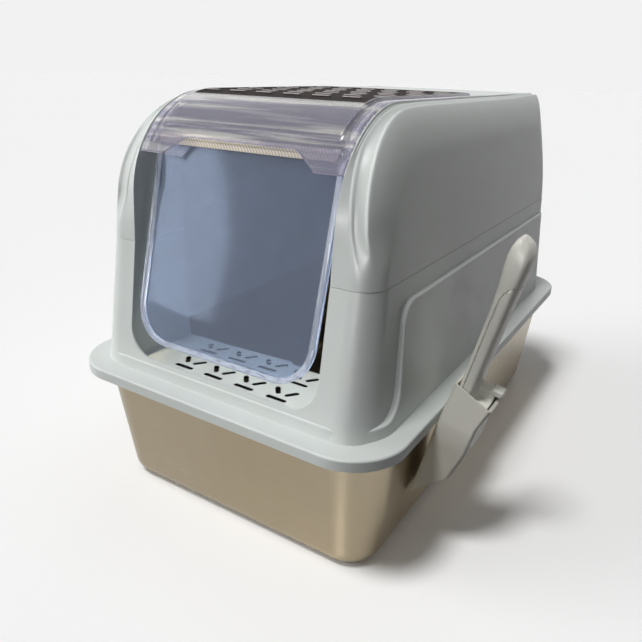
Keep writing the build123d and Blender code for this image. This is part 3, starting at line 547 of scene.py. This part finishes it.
@dataclass
class Studio:
    """Camera, lamps, floor and surrounds."""

    pale: Colour = shade(242, 242, 242)
    floor_size: float = 20.0
    floor_share: float = 1.11
    patches: Pattern = Pattern(0.8, 2.0)
    patch_shade: float = 0.992
    bounce: float = 0.025
    horizon: float = 0.002
    zenith: float = 0.36
    zenith_power: float = 3.0
    lamps: tuple[Lamp, ...] = (
        Lamp("key", (-0.34, -0.86, 2.5), 1.95, 13.0, Reach.EVERYTHING),
        Lamp("left_fill", (-1.0, -0.52, 0.25), 4.0, 46.0),
        Lamp("near_fill", (0.45, -0.9, 0.35), 0.26, 46.0),
        Lamp("front_card", (0.14, -0.98, 0.32), 2.2, 12.0, Reach.GLOSS),
        Lamp("rear_fill", (-0.2, 1.0, 0.36), 0.55, 46.0),
    )
    camera_place: Point = (0.36185, -0.67573, 0.45278)
    azimuth: float = 31.477
    pitch: float = 22.395
    roll: float = 1.755
    focal_pixels: float = 618.507
    centre_pixels: Pair = (324.622, 321.616)
    frame_pixels: float = 642.0
    sensor_width: float = 36.0
    clip: Pair = (0.02, 60.0)

    def build(self) -> None:
        """Makes the whole studio."""
        bpy.context.scene.view_settings.view_transform = "Standard"
        self.add_camera()
        self.add_world()
        self.add_floor()
        for lamp in self.lamps:
            lamp.add()

    def add_camera(self) -> None:
        """Places the camera by its azimuth, pitch and roll."""
        data = bpy.data.cameras.new("camera")
        data.sensor_width = self.sensor_width
        data.lens = self.focal_pixels * data.sensor_width / self.frame_pixels
        data.shift_x = 0.5 - self.centre_pixels[0] / self.frame_pixels
        data.shift_y = self.centre_pixels[1] / self.frame_pixels - 0.5
        data.clip_start, data.clip_end = self.clip
        camera = linked("camera", data)
        camera.matrix_world = Matrix.Translation(self.camera_place)
        for angle, axis in ((self.azimuth, "Z"), (90.0 - self.pitch, "X"), (self.roll, "Z")):
            camera.matrix_world = camera.matrix_world @ Matrix.Rotation(radians(angle), 4, axis)
        bpy.context.scene.camera = camera

    def add_world(self) -> None:
        """Surrounds that look pale and light the object softly from above."""
        world = bpy.data.worlds.new("surrounds")
        world.use_nodes = True
        graph = NodeGraph(world.node_tree)
        rays = graph.add("LightPath").outputs
        direction = graph.add("TexCoord").outputs["Generated"]
        height = graph.math("MAXIMUM", graph.add("SeparateXYZ", {0: direction}).outputs[2], 0.0)
        rise = graph.math("MULTIPLY", graph.math("POWER", height, self.zenith_power), self.zenith)
        level = graph.math("ADD", rise, self.horizon)
        seen = graph.math("MAXIMUM", rays["Is Camera Ray"], rays["Is Transmission Ray"])
        seen = graph.math("MAXIMUM", seen, rays["Is Glossy Ray"])
        light = graph.add("Background", {"Color": graph.blend(seen, level, self.pale)})
        graph.add("OutputWorld", {0: light.outputs[0]})
        bpy.context.scene.world = world

    def add_floor(self) -> None:
        """Wide plain floor, which throws little light back up."""
        graph = MaterialGraph("studio_floor")
        patch = graph.ramp(graph.noise(self.patches), 0.0, 1.0)
        pale = graph.blend(patch, scaled(self.pale, self.floor_share * self.patch_shade),
                           scaled(self.pale, self.floor_share))
        bounced = graph.add("LightPath").outputs["Is Diffuse Ray"]
        base = graph.blend(bounced, pale, (self.bounce,) * 3)
        mesh = bpy.data.meshes.new("studio_floor")
        shape = bmesh.new()
        bmesh.ops.create_grid(shape, x_segments=2, y_segments=2, size=self.floor_size)
        shape.to_mesh(mesh)
        shape.free()
        mesh.materials.append(graph.finish(graph.add("BsdfDiffuse", {"Color": base})))
        floor = linked("studio_floor", mesh)


@dataclass
class Workshop:
    """Turns bmeshes into finished pieces that ride on the frame."""

    nodes: dict[str, bpy.types.Object]
    materials: dict[str, Material] = field(default_factory=dict)
    rounded_angle: float = 28.0

    def material(self, finish: Finish) -> Material:
        """The material of a finish, made once."""
        made = self.materials.get(finish.name) or finish.build()
        return self.materials.setdefault(finish.name, made)

    def copied(self, node: str) -> Shape:
        """Copies a CAD node's mesh, with its loose triangles merged.

        Args:
            node: the node's name.

        Returns:
            The copy as a bmesh.
        """
        shape = bmesh.new()
        shape.from_mesh(self.nodes[node].data)
        bmesh.ops.remove_doubles(shape, verts=shape.verts, dist=MERGE)
        return shape

    def piece(self, name: str, shape: Shape, part: Body, finishes: Sequence[Finish],
              replaced: tuple[str, ...] = (), rounding: Rounding | None = None,
              sharp: float = 32.0) -> None:
        """Finishes a piece.

        Args:
            name: piece name.
            shape: its bmesh, which is freed.
            part: the CAD body it rides on.
            finishes: one finish for each material index.
            replaced: CAD nodes it stands for.
            rounding: how its sharp edges are rounded.
            sharp: edges steeper than this many degrees stay sharp.
        """
        mesh = bpy.data.meshes.new(name)
        shape.to_mesh(mesh)
        shape.free()
        for polygon in mesh.polygons:
            polygon.use_smooth = True
        mesh.set_sharp_from_angle(angle=radians(sharp))
        for finish in finishes:
            mesh.materials.append(self.material(finish))
        made = linked(name, mesh)
        if rounding:
            bevel = made.modifiers.new("rounding", "BEVEL")
            bevel.width, bevel.segments = rounding
            bevel.limit_method = "ANGLE"
            bevel.angle_limit = radians(self.rounded_angle)
            bevel.harden_normals = True
        made.modifiers.new("flat_faces", "WEIGHTED_NORMAL").keep_sharp = True
        body, slot = part.value
        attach(made, body)
        if replaced:
            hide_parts(*replaced)
        LOG.info("built %s on %s with %d faces", name, body, len(mesh.polygons))


@dataclass(frozen=True)
class Station:
    """One place on the hood's side outline, with its outward direction."""

    y: float
    z: float
    out_y: float
    out_z: float
    crease: float

    def inward(self, depth: float) -> Pair:
        """The point a depth below the outline."""
        return self.y - self.out_y * depth, self.z - self.out_z * depth


@dataclass
class ArchedHood:
    """Upper hood: arched skin with creased shoulders, opening rails, ledges and hinge barrels."""

    shop: Workshop
    finish: Finish = SHELL
    base: float = 0.2864
    top: float = 0.427
    front: float = -0.265
    rear: float = 0.2697
    parting: float = 0.286
    lean: float = tan(radians(4.5))
    arch: float = 0.102
    rear_round: float = 0.009
    half_base: float = 0.1562
    half_top: float = 0.135
    belly: float = 0.0032
    wall: float = 0.0024
    # Where the outline's stations stand, and how many each stretch has.
    front_steps: int = 7
    arch_steps: int = 24
    top_start: float = -0.14
    top_step: float = 0.02
    top_steps: int = 11
    top_rear: tuple[float, ...] = (0.10, 0.12, 0.14)
    fan_places: tuple[float, ...] = (0.155, 0.17, 0.185, 0.2, 0.213, 0.225, 0.235, 0.243)
    round_steps: int = 8
    rear_steps: int = 13
    # Near the rear corner the outward directions fan out, from this Y and Z on.
    fan_start: Pair = (0.15, 0.32)
    fan_margin: float = 0.0106
    # Height where the crease starts, and the height over which it grows.
    front_crease: Pair = (0.296, 0.040)
    rear_crease: Pair = (0.292, 0.134)
    # Half section: distance in from a ridge, or from the side on the flank, and depth.
    edge_flat: float = 0.0008
    ridge_margin: float = 0.0034
    inner_ridge: float = 0.024
    outer_ridge: float = 0.0102
    inner_crease: Pairs = (
        (0.0026, 0.0), (0.0015, -0.0002), (0.0005, -0.0005),
        (-0.0006, -0.0002), (-0.0016, 0.0008), (-0.0028, 0.0017),
    )
    valley_depth: float = 0.0025
    outer_crease: Pairs = (
        (0.0034, 0.0028), (0.0020, 0.0025), (0.0010, 0.0017),
        (0.0, 0.0014), (-0.0010, 0.0019), (-0.0020, 0.0033),
    )
    flank: Pairs = (
        (0.0068, 0.0062), (0.0052, 0.0100), (0.0037, 0.0148),
        (0.0024, 0.0206), (0.0013, 0.0272), (0.0005, 0.0345),
    )
    fall_off: float = 0.043
    plain_round: float = 0.0235
    shoulder_sink: float = 0.0032
    # The share of the sink lost along the top, and the start and length of each change.
    sink_loss: float = 0.4
    sink_eases: Pair = (-0.19, 0.08)
    sink_ends: Pair = (0.14, 0.1)
    side_cuts: tuple[float, ...] = (0.305, 0.325, 0.345, 0.365)
    skin_sharp: float = 50.0
    # The opening, with its rails, its ledges and the cover's hinge.
    opening_half: float = 0.1145
    opening_rear: float = 0.0781
    jamb_rear: float = -0.195
    rail_depth: float = 0.017
    rail_lap: float = 0.0002
    rail_bend: float = 0.008
    bend_steps: int = 6
    cross_overlap: float = 0.001
    cross_lap: float = 0.0004
    rail_rounding: Rounding = (0.0004, 2)
    ledge_depth: float = 0.0035
    ledge_thickness: float = 0.0022
    ledge_width: float = 0.007
    ledge_foot: float = 0.373
    ledge_drop: float = 0.001
    cover_rear: float = 0.0706
    hinge: Point = (0.074, 0.4241, 0.0029)
    knuckles: Pair = (0.058, 0.096)
    knuckle_overlap: float = 0.0012
    knuckle_web: float = 0.001
    knuckle_points: int = 32
    knuckle_rounding: Rounding = (0.0003, 2)
    gap: float = 0.0005

    def side_at(self, z: float) -> float:
        """Half width of the hood at a height."""
        share = (z - self.base) / (self.top - self.base)
        return (self.half_base + (self.half_top - self.half_base) * share
                + self.belly * 4 * share * (1 - share))

    def outline(self) -> list[Station]:
        """Walks up the front, over the arch, along the top and down the rear.

        Returns:
            The stations, in order.
        """
        slope = atan(self.lean)
        centre_z = self.top - self.arch
        centre_y = self.front + (centre_z - self.parting) * self.lean + self.arch / cos(slope)
        rear_z = self.top - self.rear_round
        rear_y = self.rear - (rear_z - self.parting) * self.lean - self.rear_round / cos(slope)
        fan_y, fan_z = self.fan_start
        found = []

        def mark(y: float, z: float, angle: float, crease: float) -> None:
            """Adds a station whose outward direction is an angle above -Y."""
            found.append(Station(y, z, -cos(angle), sin(angle), crease))

        def mark_rear(y: float, z: float) -> None:
            """Adds a station near the rear corner, where the directions fan out ahead of it."""
            outward = (min(1.0, max(0.0, (y - fan_y) / (self.rear - self.fan_margin - fan_y))),
                       min(1.0, max(self.lean, (z - fan_z) / (self.top - fan_z))))
            found.append(Station(y, z, *outward, eased(z, *self.rear_crease)))

        arch_start = centre_z + self.arch * sin(slope)
        for step in range(self.front_steps):
            z = self.base + (arch_start - self.base) * step / self.front_steps
            mark(self.front + (z - self.parting) * self.lean, z, slope, eased(z, *self.front_crease))
        for step in range(self.arch_steps + 1):
            angle = slope + (pi / 2 - slope) * step / self.arch_steps
            z = centre_z + self.arch * sin(angle)
            mark(centre_y - self.arch * cos(angle), z, angle, 1.0)
        along = [self.top_start + self.top_step * step for step in range(self.top_steps)]
        for y in (*along, self.opening_rear, *self.top_rear):
            mark(y, self.top, pi / 2, 1.0)
        for y in self.fan_places:
            mark_rear(y, self.top)
        for step in range(self.round_steps + 1):
            angle = pi / 2 + (pi / 2 - slope) * step / self.round_steps
            z = rear_z + self.rear_round * sin(angle)
            mark_rear(rear_y - self.rear_round * cos(angle), z)
        rear_end = rear_z + self.rear_round * sin(slope)
        for step in range(1, self.rear_steps + 1):
            z = rear_end + (self.base - rear_end) * step / self.rear_steps
            mark_rear(self.rear - (z - self.parting) * self.lean, z)
        return found

    def section(self, station: Station) -> list[Pair]:
        """Half section at a station, between a plain rounding and the full crease.

        Args:
            station: where the section is taken.

        Returns:
            Distances in from the side, with depths below the outline.
        """
        edge = self.side_at(station.z) - self.opening_half
        inner, outer = min(self.inner_ridge, edge - self.ridge_margin), self.outer_ridge
        creased = [(inner + across, depth) for across, depth in self.inner_crease]
        creased.append(((inner + outer) / 2, self.valley_depth))
        creased += [(outer + across, depth) for across, depth in self.outer_crease]
        creased += [*self.flank, (0.0, self.fall_off)]
        sink = self.shoulder_sink * (1.0 - self.sink_loss * eased(station.y, *self.sink_eases))
        sink *= 1.0 - eased(station.y, *self.sink_ends)
        points = [(edge, 0.0), (edge - self.edge_flat, 0.0)]
        for index, (across, depth) in enumerate(creased):
            turn = pi / 2 * index / (len(creased) - 1)
            plain = self.plain_round * (1 - sin(turn)), self.plain_round * (1 - cos(turn))
            full = across, depth + sink * (1 - depth / self.fall_off)
            points.append(tuple(p + (f - p) * station.crease for p, f in zip(plain, full)))
        return points

    def skin(self) -> Shape:
        """Draws the outer surface as one open sheet, with its side panels curved.

        Returns:
            The sheet, facing outwards.
        """
        shape = bmesh.new()
        rows = []
        for station in self.outline():
            row = []
            if station.y > self.opening_rear - TINY:
                row.append(shape.verts.new((0.0, station.y, station.z)))
            for across, depth in self.section(station):
                y, z = station.inward(depth)
                z = max(z, self.base)
                row.append(shape.verts.new((self.side_at(z) - across, y, z)))
            rows.append(row)
        for first, second in zip(rows, rows[1:]):
            for corners in zip(first[::-1], first[-2::-1], second[-2::-1], second[::-1]):
                shape.faces.new(corners)
        cut = [shape.faces.new([row[-1] for row in rows])]
        for z in self.side_cuts:
            edges, verts = {e for f in cut for e in f.edges}, {v for f in cut for v in f.verts}
            found = bmesh.ops.bisect_plane(shape, geom=[*cut, *edges, *verts], plane_co=(0, 0, z),
                                           plane_no=(0, 0, 1))
            cut = faces_of(found["geom"])
        for vert in {v for f in cut for v in f.verts}:
            vert.co.x = self.side_at(vert.co.z)
        bmesh.ops.mirror(shape, geom=whole(shape), axis="X", merge_dist=0.0)
        bmesh.ops.remove_doubles(shape, verts=shape.verts, dist=TINY)
        turn_outward(shape)
        middle = max(shape.faces, key=lambda f: f.calc_center_median().z)
        if middle.normal.z < 0:
            bmesh.ops.reverse_faces(shape, faces=shape.faces)
        return shape

    def thicken(self, shape: Shape) -> None:
        """Gives the open sheet its wall, pushed in along the vertex normals, with a flat foot.

        Args:
            shape: the open sheet.
        """
        shape.normal_update()
        outward = shape.verts.layers.float_vector.new("outward")
        for vert in shape.verts:
            vert[outward] = vert.normal
        made = bmesh.ops.extrude_face_region(shape, geom=shape.faces[:], use_keep_orig=True)
        for vert in verts_of(made["geom"]):
            on_foot = vert.co.z < self.base + NEAR
            vert.co -= vert[outward] * self.wall
            if on_foot:
                vert.co.z = self.base
        shape.verts.layers.float_vector.remove(outward)
        turn_outward(shape)

    def line_at(self, depth: float, foot: float, rear: float) -> list[Pair]:
        """The outline at a depth, above a height and in front of a Y."""
        points = [station.inward(depth) for station in self.outline()]
        return [(y, z) for y, z in points if z > foot and y < rear]

    def rail_plate(self) -> list[Pair]:
        """Draws one side of the opening's wall: deep beside the entry, shallow beside the top.

        Returns:
            Y and Z values of its side outline.
        """
        upper = self.line_at(self.wall - self.rail_lap, 0.0, self.opening_rear)
        foot, bend = self.top - self.rail_depth, self.rail_bend
        turns = [pi / 2 * step / self.bend_steps for step in range(self.bend_steps + 1)]
        lower = [(self.jamb_rear + bend - bend * sin(turn), foot - bend + bend * cos(turn))
                 for turn in turns]
        rear = [(self.opening_rear, self.top - self.wall), (self.opening_rear, foot)]
        return [*upper, *rear, *lower, (self.jamb_rear, self.base)]

    def barrel(self, shape: Shape, start: float, end: float) -> None:
        """Adds a stretch of hinge barrel with softened ends.

        Args:
            shape: what it goes in.
            start: X of one end.
            end: X of the other end.
        """
        y, z, radius = self.hinge
        turn = Matrix.Translation(((start + end) / 2, y, z)) @ Matrix.Rotation(pi / 2, 4, "Y")
        made = bmesh.ops.create_cone(shape, cap_ends=True, segments=self.knuckle_points, radius1=radius,
                                     radius2=radius, depth=end - start, matrix=turn)["verts"]
        rims = [e for e in {e for v in made for e in v.link_edges}
                if abs(e.verts[0].co.x - e.verts[1].co.x) < TINY]
        round_edges(shape, rims, self.knuckle_rounding)

    def build(self) -> None:
        """Builds the skin and what stands inside it."""
        skin = self.skin()
        self.thicken(skin)
        self.shop.piece("hood_skin", skin, Body.HOOD, [self.finish], ("upper_hood",), sharp=self.skin_sharp)
        rails, half = bmesh.new(), self.opening_half
        foot, rear = self.ledge_foot, self.cover_rear
        below = self.line_at(self.ledge_depth + self.ledge_thickness, foot - self.ledge_drop, rear)
        ledge_plate = self.line_at(self.ledge_depth, foot, rear) + below[::-1]
        plates = ((self.rail_plate(), half, half + self.wall),
                  (ledge_plate, half - self.ledge_width, half + self.wall / 2))
        for sign in (1, -1):
            for outline, start, end in plates:
                for vert in drawn_out(rails, outline, sign * start):
                    vert.co.x = sign * end
        across = half + self.cross_overlap
        add_bar(rails, (-across, self.opening_rear, self.top - self.rail_depth),
                (across, self.opening_rear + self.wall, self.top - self.wall + self.cross_lap))
        turn_outward(rails)
        self.shop.piece("hood_rails", rails, Body.HOOD, [self.finish], rounding=self.rail_rounding)
        barrels, end_x = bmesh.new(), half + self.knuckle_overlap
        inner, outer = self.knuckles[0] - self.gap, self.knuckles[1] + self.gap
        for start, end in ((-inner, inner), (outer, end_x), (-end_x, -outer)):
            self.barrel(barrels, start, end)
            add_bar(barrels, (start, self.hinge[0], self.top - self.wall),
                    (end, self.opening_rear + self.knuckle_web, self.top - self.cross_lap))
        turn_outward(barrels)
        self.shop.piece("hood_hinge_barrels", barrels, Body.HOOD, [self.finish])


@dataclass
class ClearParts:
    """Clear cover with its dark vented top, and the swing flap with its thick rim."""

    shop: Workshop
    cover_finishes: tuple[Finish, ...] = (COVER, DARK_TOP)
    vent_finish: Finish = VENT
    flap_finishes: tuple[Finish, ...] = (FLAP, FLAP_RIM)
    top_panel_start: float = -0.188
    top_panel_end: float = 0.056
    top_panel_half: float = 0.097
    top_panel_foot: float = 0.42
    panel_inset: float = 0.0006
    panel_depth: float = 0.0009
    vent_rows: int = 7
    vent_columns: int = 6
    vent_stagger: float = 0.2
    vent_share: float = 0.62
    vent_width: float = 0.0042
    vent_points: int = 16
    vent_rim: float = 0.0009
    vent_height: float = 0.0008
    vent_z: float = 0.4285
    rod: Pair = (-0.2286, 0.386)
    flap_tilt: float = radians(14.6)
    plate_half: float = 0.0017

    def build_cover(self) -> None:
        """Cuts the cover's top apart from its arch, sinks it and gives it the dark finish."""
        shape = self.shop.copied("clear_cover")
        along, across = (0, 1, 0), (1, 0, 0)
        for place, normal in (((0, self.top_panel_start, 0), along), ((0, self.top_panel_end, 0), along),
                              ((self.top_panel_half, 0, 0), across), ((-self.top_panel_half, 0, 0), across)):
            bmesh.ops.bisect_plane(shape, geom=whole(shape), plane_co=place, plane_no=normal)
        for face in shape.faces:
            centre = face.calc_center_median()
            inside = self.top_panel_start < centre.y < self.top_panel_end and abs(centre.x) < self.top_panel_half
            face.material_index = int(inside and centre.z > self.top_panel_foot)
        panel = [face for face in shape.faces if face.material_index and face.normal.z > 0.5]
        bmesh.ops.inset_region(shape, faces=panel, use_even_offset=False, thickness=self.panel_inset,
                               depth=-self.panel_depth)
        self.shop.piece("cover_sheet", shape, Body.COVER, self.cover_finishes, ("clear_cover",))

    def build_vents(self) -> None:
        """Lays staggered rows of raised slot rims along the cover's top."""
        shape = bmesh.new()
        pitch_y = (self.top_panel_end - self.top_panel_start) / self.vent_rows
        pitch_x = 2 * self.top_panel_half / self.vent_columns
        for row in range(self.vent_rows):
            shift = self.vent_stagger if row % 2 else -self.vent_stagger
            for column in range(self.vent_columns):
                x = -self.top_panel_half + pitch_x * (column + 0.5 + shift)
                y = self.top_panel_start + pitch_y * (row + 0.5)
                self.vent(shape, x, y, pitch_x * self.vent_share)
        self.shop.piece("cover_vent_rims", shape, Body.COVER, [self.vent_finish])

    def vent(self, shape: Shape, x: float, y: float, length: float) -> None:
        """Adds one round-ended slot rim.

        Args:
            shape: what it goes in.
            x: its middle, across.
            y: its middle, along.
            length: its length across.
        """
        width = self.vent_width
        ring = bmesh.ops.create_circle(shape, cap_ends=True, segments=self.vent_points,
                                       radius=width / 2)["verts"]
        for vert in ring:
            vert.co.x += copysign((length - width) / 2, vert.co.x if abs(vert.co.x) > TINY else 1.0)
        face = ring[0].link_faces[0]
        inset = bmesh.ops.inset_region(shape, faces=[face], thickness=self.vent_rim, depth=0.0)["faces"]
        raised = verts_of(bmesh.ops.extrude_face_region(shape, geom=inset + [face])["geom"])
        bmesh.ops.translate(shape, verts=raised, vec=(0, 0, self.vent_height))
        every = {*ring, *raised, *(v for f in inset for v in f.verts)}
        bmesh.ops.translate(shape, verts=list(every), vec=(x, y, self.vent_z))

    def build_flap(self) -> None:
        """Gives the flap's thick rim its paler finish."""
        shape = self.shop.copied("swing_flap")
        normal = Vector((0, -cos(self.flap_tilt), sin(self.flap_tilt)))
        start = Vector((0, *self.rod))
        for face in shape.faces:
            off = (face.calc_center_median() - start).dot(normal)
            face.material_index = int(abs(off) > self.plate_half)
        self.shop.piece("flap_sheet", shape, Body.FLAP, self.flap_finishes, ("swing_flap",))


@dataclass
class HungScoop:
    """Scoop with its swelling handle and inlaid grip, and the pocket that it hangs in."""

    shop: Workshop
    finish: Finish = SCOOP
    pocket_finish: Finish = HOLDER
    lean: float = radians(13.2)
    origin: Point = (0.19298, -0.1655, 0.1547)
    handle_y: float = 0.00585
    head_top: float = -0.0079
    squareness: float = 3.4
    flat_angle: float = radians(1.0)
    ring_points: int = 44
    # Rings up the handle: height, inner X, outer X, half width and tilt in degrees.
    rings: tuple[tuple[float, float, float, float, float], ...] = (
        (-0.0085, 0.0030, 0.0194, 0.01575, 0.0), (0.045, 0.0029, 0.0194, 0.01575, 0.0),
        (0.105, 0.0026, 0.0194, 0.01575, 0.0), (0.132, 0.0014, 0.0199, 0.0161, 2.0),
        (0.147, -0.0004, 0.0206, 0.0167, 6.0), (0.158, -0.0012, 0.0209, 0.0168, 12.0),
        (0.166, -0.0006, 0.0201, 0.0159, 18.0), (0.1715, 0.0010, 0.0184, 0.0140, 23.0),
        (0.1752, 0.0034, 0.0160, 0.0110, 26.0), (0.1772, 0.0062, 0.0128, 0.0065, 28.0),
    )
    # X and Z values along the inlay's edge, and the groove that follows it.
    inlay: Pairs = (
        (0.0072, -0.02), (0.0072, 0.116), (0.0078, 0.124), (0.0094, 0.1305), (0.0122, 0.1355),
        (0.0160, 0.1383), (0.03, 0.139),
    )
    inlay_foot: float = 0.0001
    groove: float = 0.0007
    groove_depth: float = 0.0011
    # Y and Z values of the shoulder's steps, and the X values of its faces.
    shoulder: Pairs = (
        (-0.0096, -0.009), (-0.0096, 0.0185), (0.0085, 0.0200), (0.0085, 0.0295), (0.0213, 0.0310),
        (0.0213, -0.009),
    )
    shoulder_x: Pair = (0.0185, 0.0352)
    shoulder_foot_x: float = 0.0325
    ledge: tuple[Point, Point] = ((0.030, 0.0080, 0.0262), (0.0412, 0.0222, 0.0325))
    # The pocket's front face, which bends at a height and slopes above it.
    bend_height: float = -0.016
    bend_reach: float = 0.0002
    bend_front: float = -0.02
    bend_rounding: Rounding = (0.012, 7)
    front: float = -0.0245
    front_slope: float = 0.0115 / 0.048
    front_reach: float = 0.0007
    corner_angle: float = 0.9
    corner_rise: float = 0.8
    corner_rounding: Rounding = (0.0034, 5)
    head_rounding: Rounding = (0.0006, 2)
    shoulder_rounding: Rounding = (0.0014, 4)
    pocket_rounding: Rounding = (0.0008, 3)

    def placed(self) -> Matrix:
        """Matrix from the pocket's leaning frame to the object's."""
        return Matrix.Translation(self.origin) @ Matrix.Rotation(self.lean, 4, "Y")

    def local_copy(self, node: str) -> Shape:
        """Copies a node into the leaning frame, with its flat faces whole.

        Args:
            node: the node's name.

        Returns:
            The copy as a bmesh.
        """
        shape = self.shop.copied(node)
        bmesh.ops.transform(shape, matrix=self.placed().inverted(), verts=shape.verts)
        bmesh.ops.dissolve_limit(shape, angle_limit=self.flat_angle, verts=shape.verts, edges=shape.edges)
        return shape

    def standing(self, shape: Shape) -> Shape:
        """Moves a shape from the leaning frame to its place and returns it."""
        bmesh.ops.transform(shape, matrix=self.placed(), verts=shape.verts)
        return turn_outward(shape)

    def handle(self) -> Shape:
        """Draws the handle up through its rings, with its inlay's groove.

        Returns:
            The handle in the leaning frame.
        """
        shape = bmesh.new()
        bmesh.ops.create_circle(shape, cap_ends=True, segments=self.ring_points, radius=1.0)
        power = 2 / self.squareness
        for vert in shape.verts:
            vert.co = [copysign(abs(c) ** power, c) for c in vert.co[:2]] + [0.0]
        top = shape.faces[:]
        for index in range(len(self.rings) - 1):
            grown = bmesh.ops.extrude_face_region(shape, geom=top)["geom"]
            if index:
                bmesh.ops.delete(shape, geom=top, context="FACES_ONLY")
            top = faces_of(grown)
            bmesh.ops.translate(shape, verts=verts_of(grown), vec=(0, 0, 1))
        for vert in shape.verts:
            height, low, high, half, tilt = self.rings[round(vert.co.z)]
            across = vert.co.x * (high - low) / 2
            vert.co = ((low + high) / 2 + across, self.handle_y + vert.co.y * half,
                       height - across * tan(radians(tilt)))
        turn_outward(shape)
        self.inlay_groove(shape)
        return shape

    def inlay_groove(self, shape: Shape) -> None:
        """Cuts the inlay's outline into the handle and sinks a groove along it.

        Args:
            shape: the handle in the leaning frame.
        """
        planes = []
        for (x0, z0), (x1, z1) in zip(self.inlay, self.inlay[1:]):
            planes.append((Vector((x0, 0, z0)), Vector((z0 - z1, 0, x1 - x0)).normalized()))
        for place, normal in planes:
            bmesh.ops.bisect_plane(shape, geom=whole(shape), dist=TINY, plane_co=place, plane_no=normal)
        foot = self.rings[0][0] + self.inlay_foot
        inside = [f for f in shape.faces if f.calc_center_median().z > foot
                  and all((f.calc_center_median() - place).dot(normal) < 0 for place, normal in planes)]
        for depth in (-self.groove_depth, self.groove_depth):
            bmesh.ops.inset_region(shape, faces=inside, use_even_offset=False, thickness=self.groove,
                                   depth=depth)

    def head(self) -> Shape:
        """Cuts the head of the scoop from its handle.

        Returns:
            The head in the leaning frame, closed.
        """
        shape = self.local_copy("scoop")
        cut = bmesh.ops.bisect_plane(shape, geom=whole(shape), dist=TINY, plane_co=(0, 0, self.head_top),
                                     plane_no=(0, 0, 1), clear_outer=True)["geom_cut"]
        bmesh.ops.edgeloop_fill(shape, edges=[e for e in cut if isinstance(e, bmesh.types.BMEdge)])
        return shape

    def stepped(self) -> Shape:
        """Makes the stepped shoulder that fills the pocket's mouth beside the handle.

        Returns:
            The shoulder in the leaning frame.
        """
        shape = bmesh.new()
        start, end = self.shoulder_x
        for vert in drawn_out(shape, self.shoulder, start):
            vert.co.x = end if vert.co.z > 0 else self.shoulder_foot_x
        add_bar(shape, *self.ledge)
        return turn_outward(shape)

    def front_at(self, z: float) -> float:
        """Y of the pocket's front face at a height."""
        return self.front + max(0.0, z - self.bend_height) * self.front_slope

    def pocket(self) -> Shape:
        """Softens the pocket's front bend and rounds its front corners.

        Returns:
            The pocket in the leaning frame.
        """
        shape = self.local_copy("scoop_holder")
        bend = [e for e in shape.edges
                if all(abs(v.co.z - self.bend_height) < self.bend_reach and v.co.y < self.bend_front
                       for v in e.verts)]
        round_edges(shape, bend, self.bend_rounding)
        corners = [e for e in shape.edges
                   if len(e.link_faces) == 2 and e.calc_face_angle() > self.corner_angle
                   and all(abs(v.co.y - self.front_at(v.co.z)) < self.front_reach for v in e.verts)
                   and abs(e.verts[0].co.z - e.verts[1].co.z) > self.corner_rise * e.calc_length()]
        round_edges(shape, corners, self.corner_rounding)
        return shape

    def build(self) -> None:
        """Builds the scoop's pieces and the pocket."""
        piece, plastic = self.shop.piece, [self.finish]
        piece("scoop_handle", self.standing(self.handle()), Body.SCOOP, plastic, ("scoop_grip",))
        piece("scoop_head", self.standing(self.head()), Body.SCOOP, plastic, ("scoop",), self.head_rounding)
        piece("scoop_shoulder", self.standing(self.stepped()), Body.SCOOP, plastic,
              rounding=self.shoulder_rounding)
        piece("holder_pocket", self.standing(self.pocket()), Body.HOLDER, [self.pocket_finish],
              ("scoop_holder",), self.pocket_rounding)


@dataclass
class CarriedParts:
    """Materials for the CAD nodes that stay as they are."""

    shop: Workshop

    def dress(self, finishes: dict[str, Finish]) -> None:
        """Gives each node its material.

        Args:
            finishes: node names, each with its finish.
        """
        for node, finish in finishes.items():
            slots = self.shop.nodes[node].data.materials
            slots.clear()
            slots.append(self.shop.material(finish))
            LOG.info("dressed %s in %s", node, finish.name)


def main() -> None:
    """Builds the studio and dresses the box."""
    logging.basicConfig(level=logging.INFO)
    Studio().build()
    shop = Workshop(frame["nodes"])
    ArchedHood(shop).build()
    clear_parts = ClearParts(shop)
    clear_parts.build_cover()
    clear_parts.build_vents()
    clear_parts.build_flap()
    HungScoop(shop).build()
    CarriedParts(shop).dress({
        "litter_pan": STEEL, "lower_shell": SHELL, "entry_step": STEP, "flap_hinge_rail": RAIL,
        "cover_hinge_pin_right": PIN, "cover_hinge_pin_left": PIN,
        "flap_rod": PIN, "flap_rod_cap_right": PIN, "flap_rod_cap_left": PIN,
    })


if __name__ == "__main__":
    main()
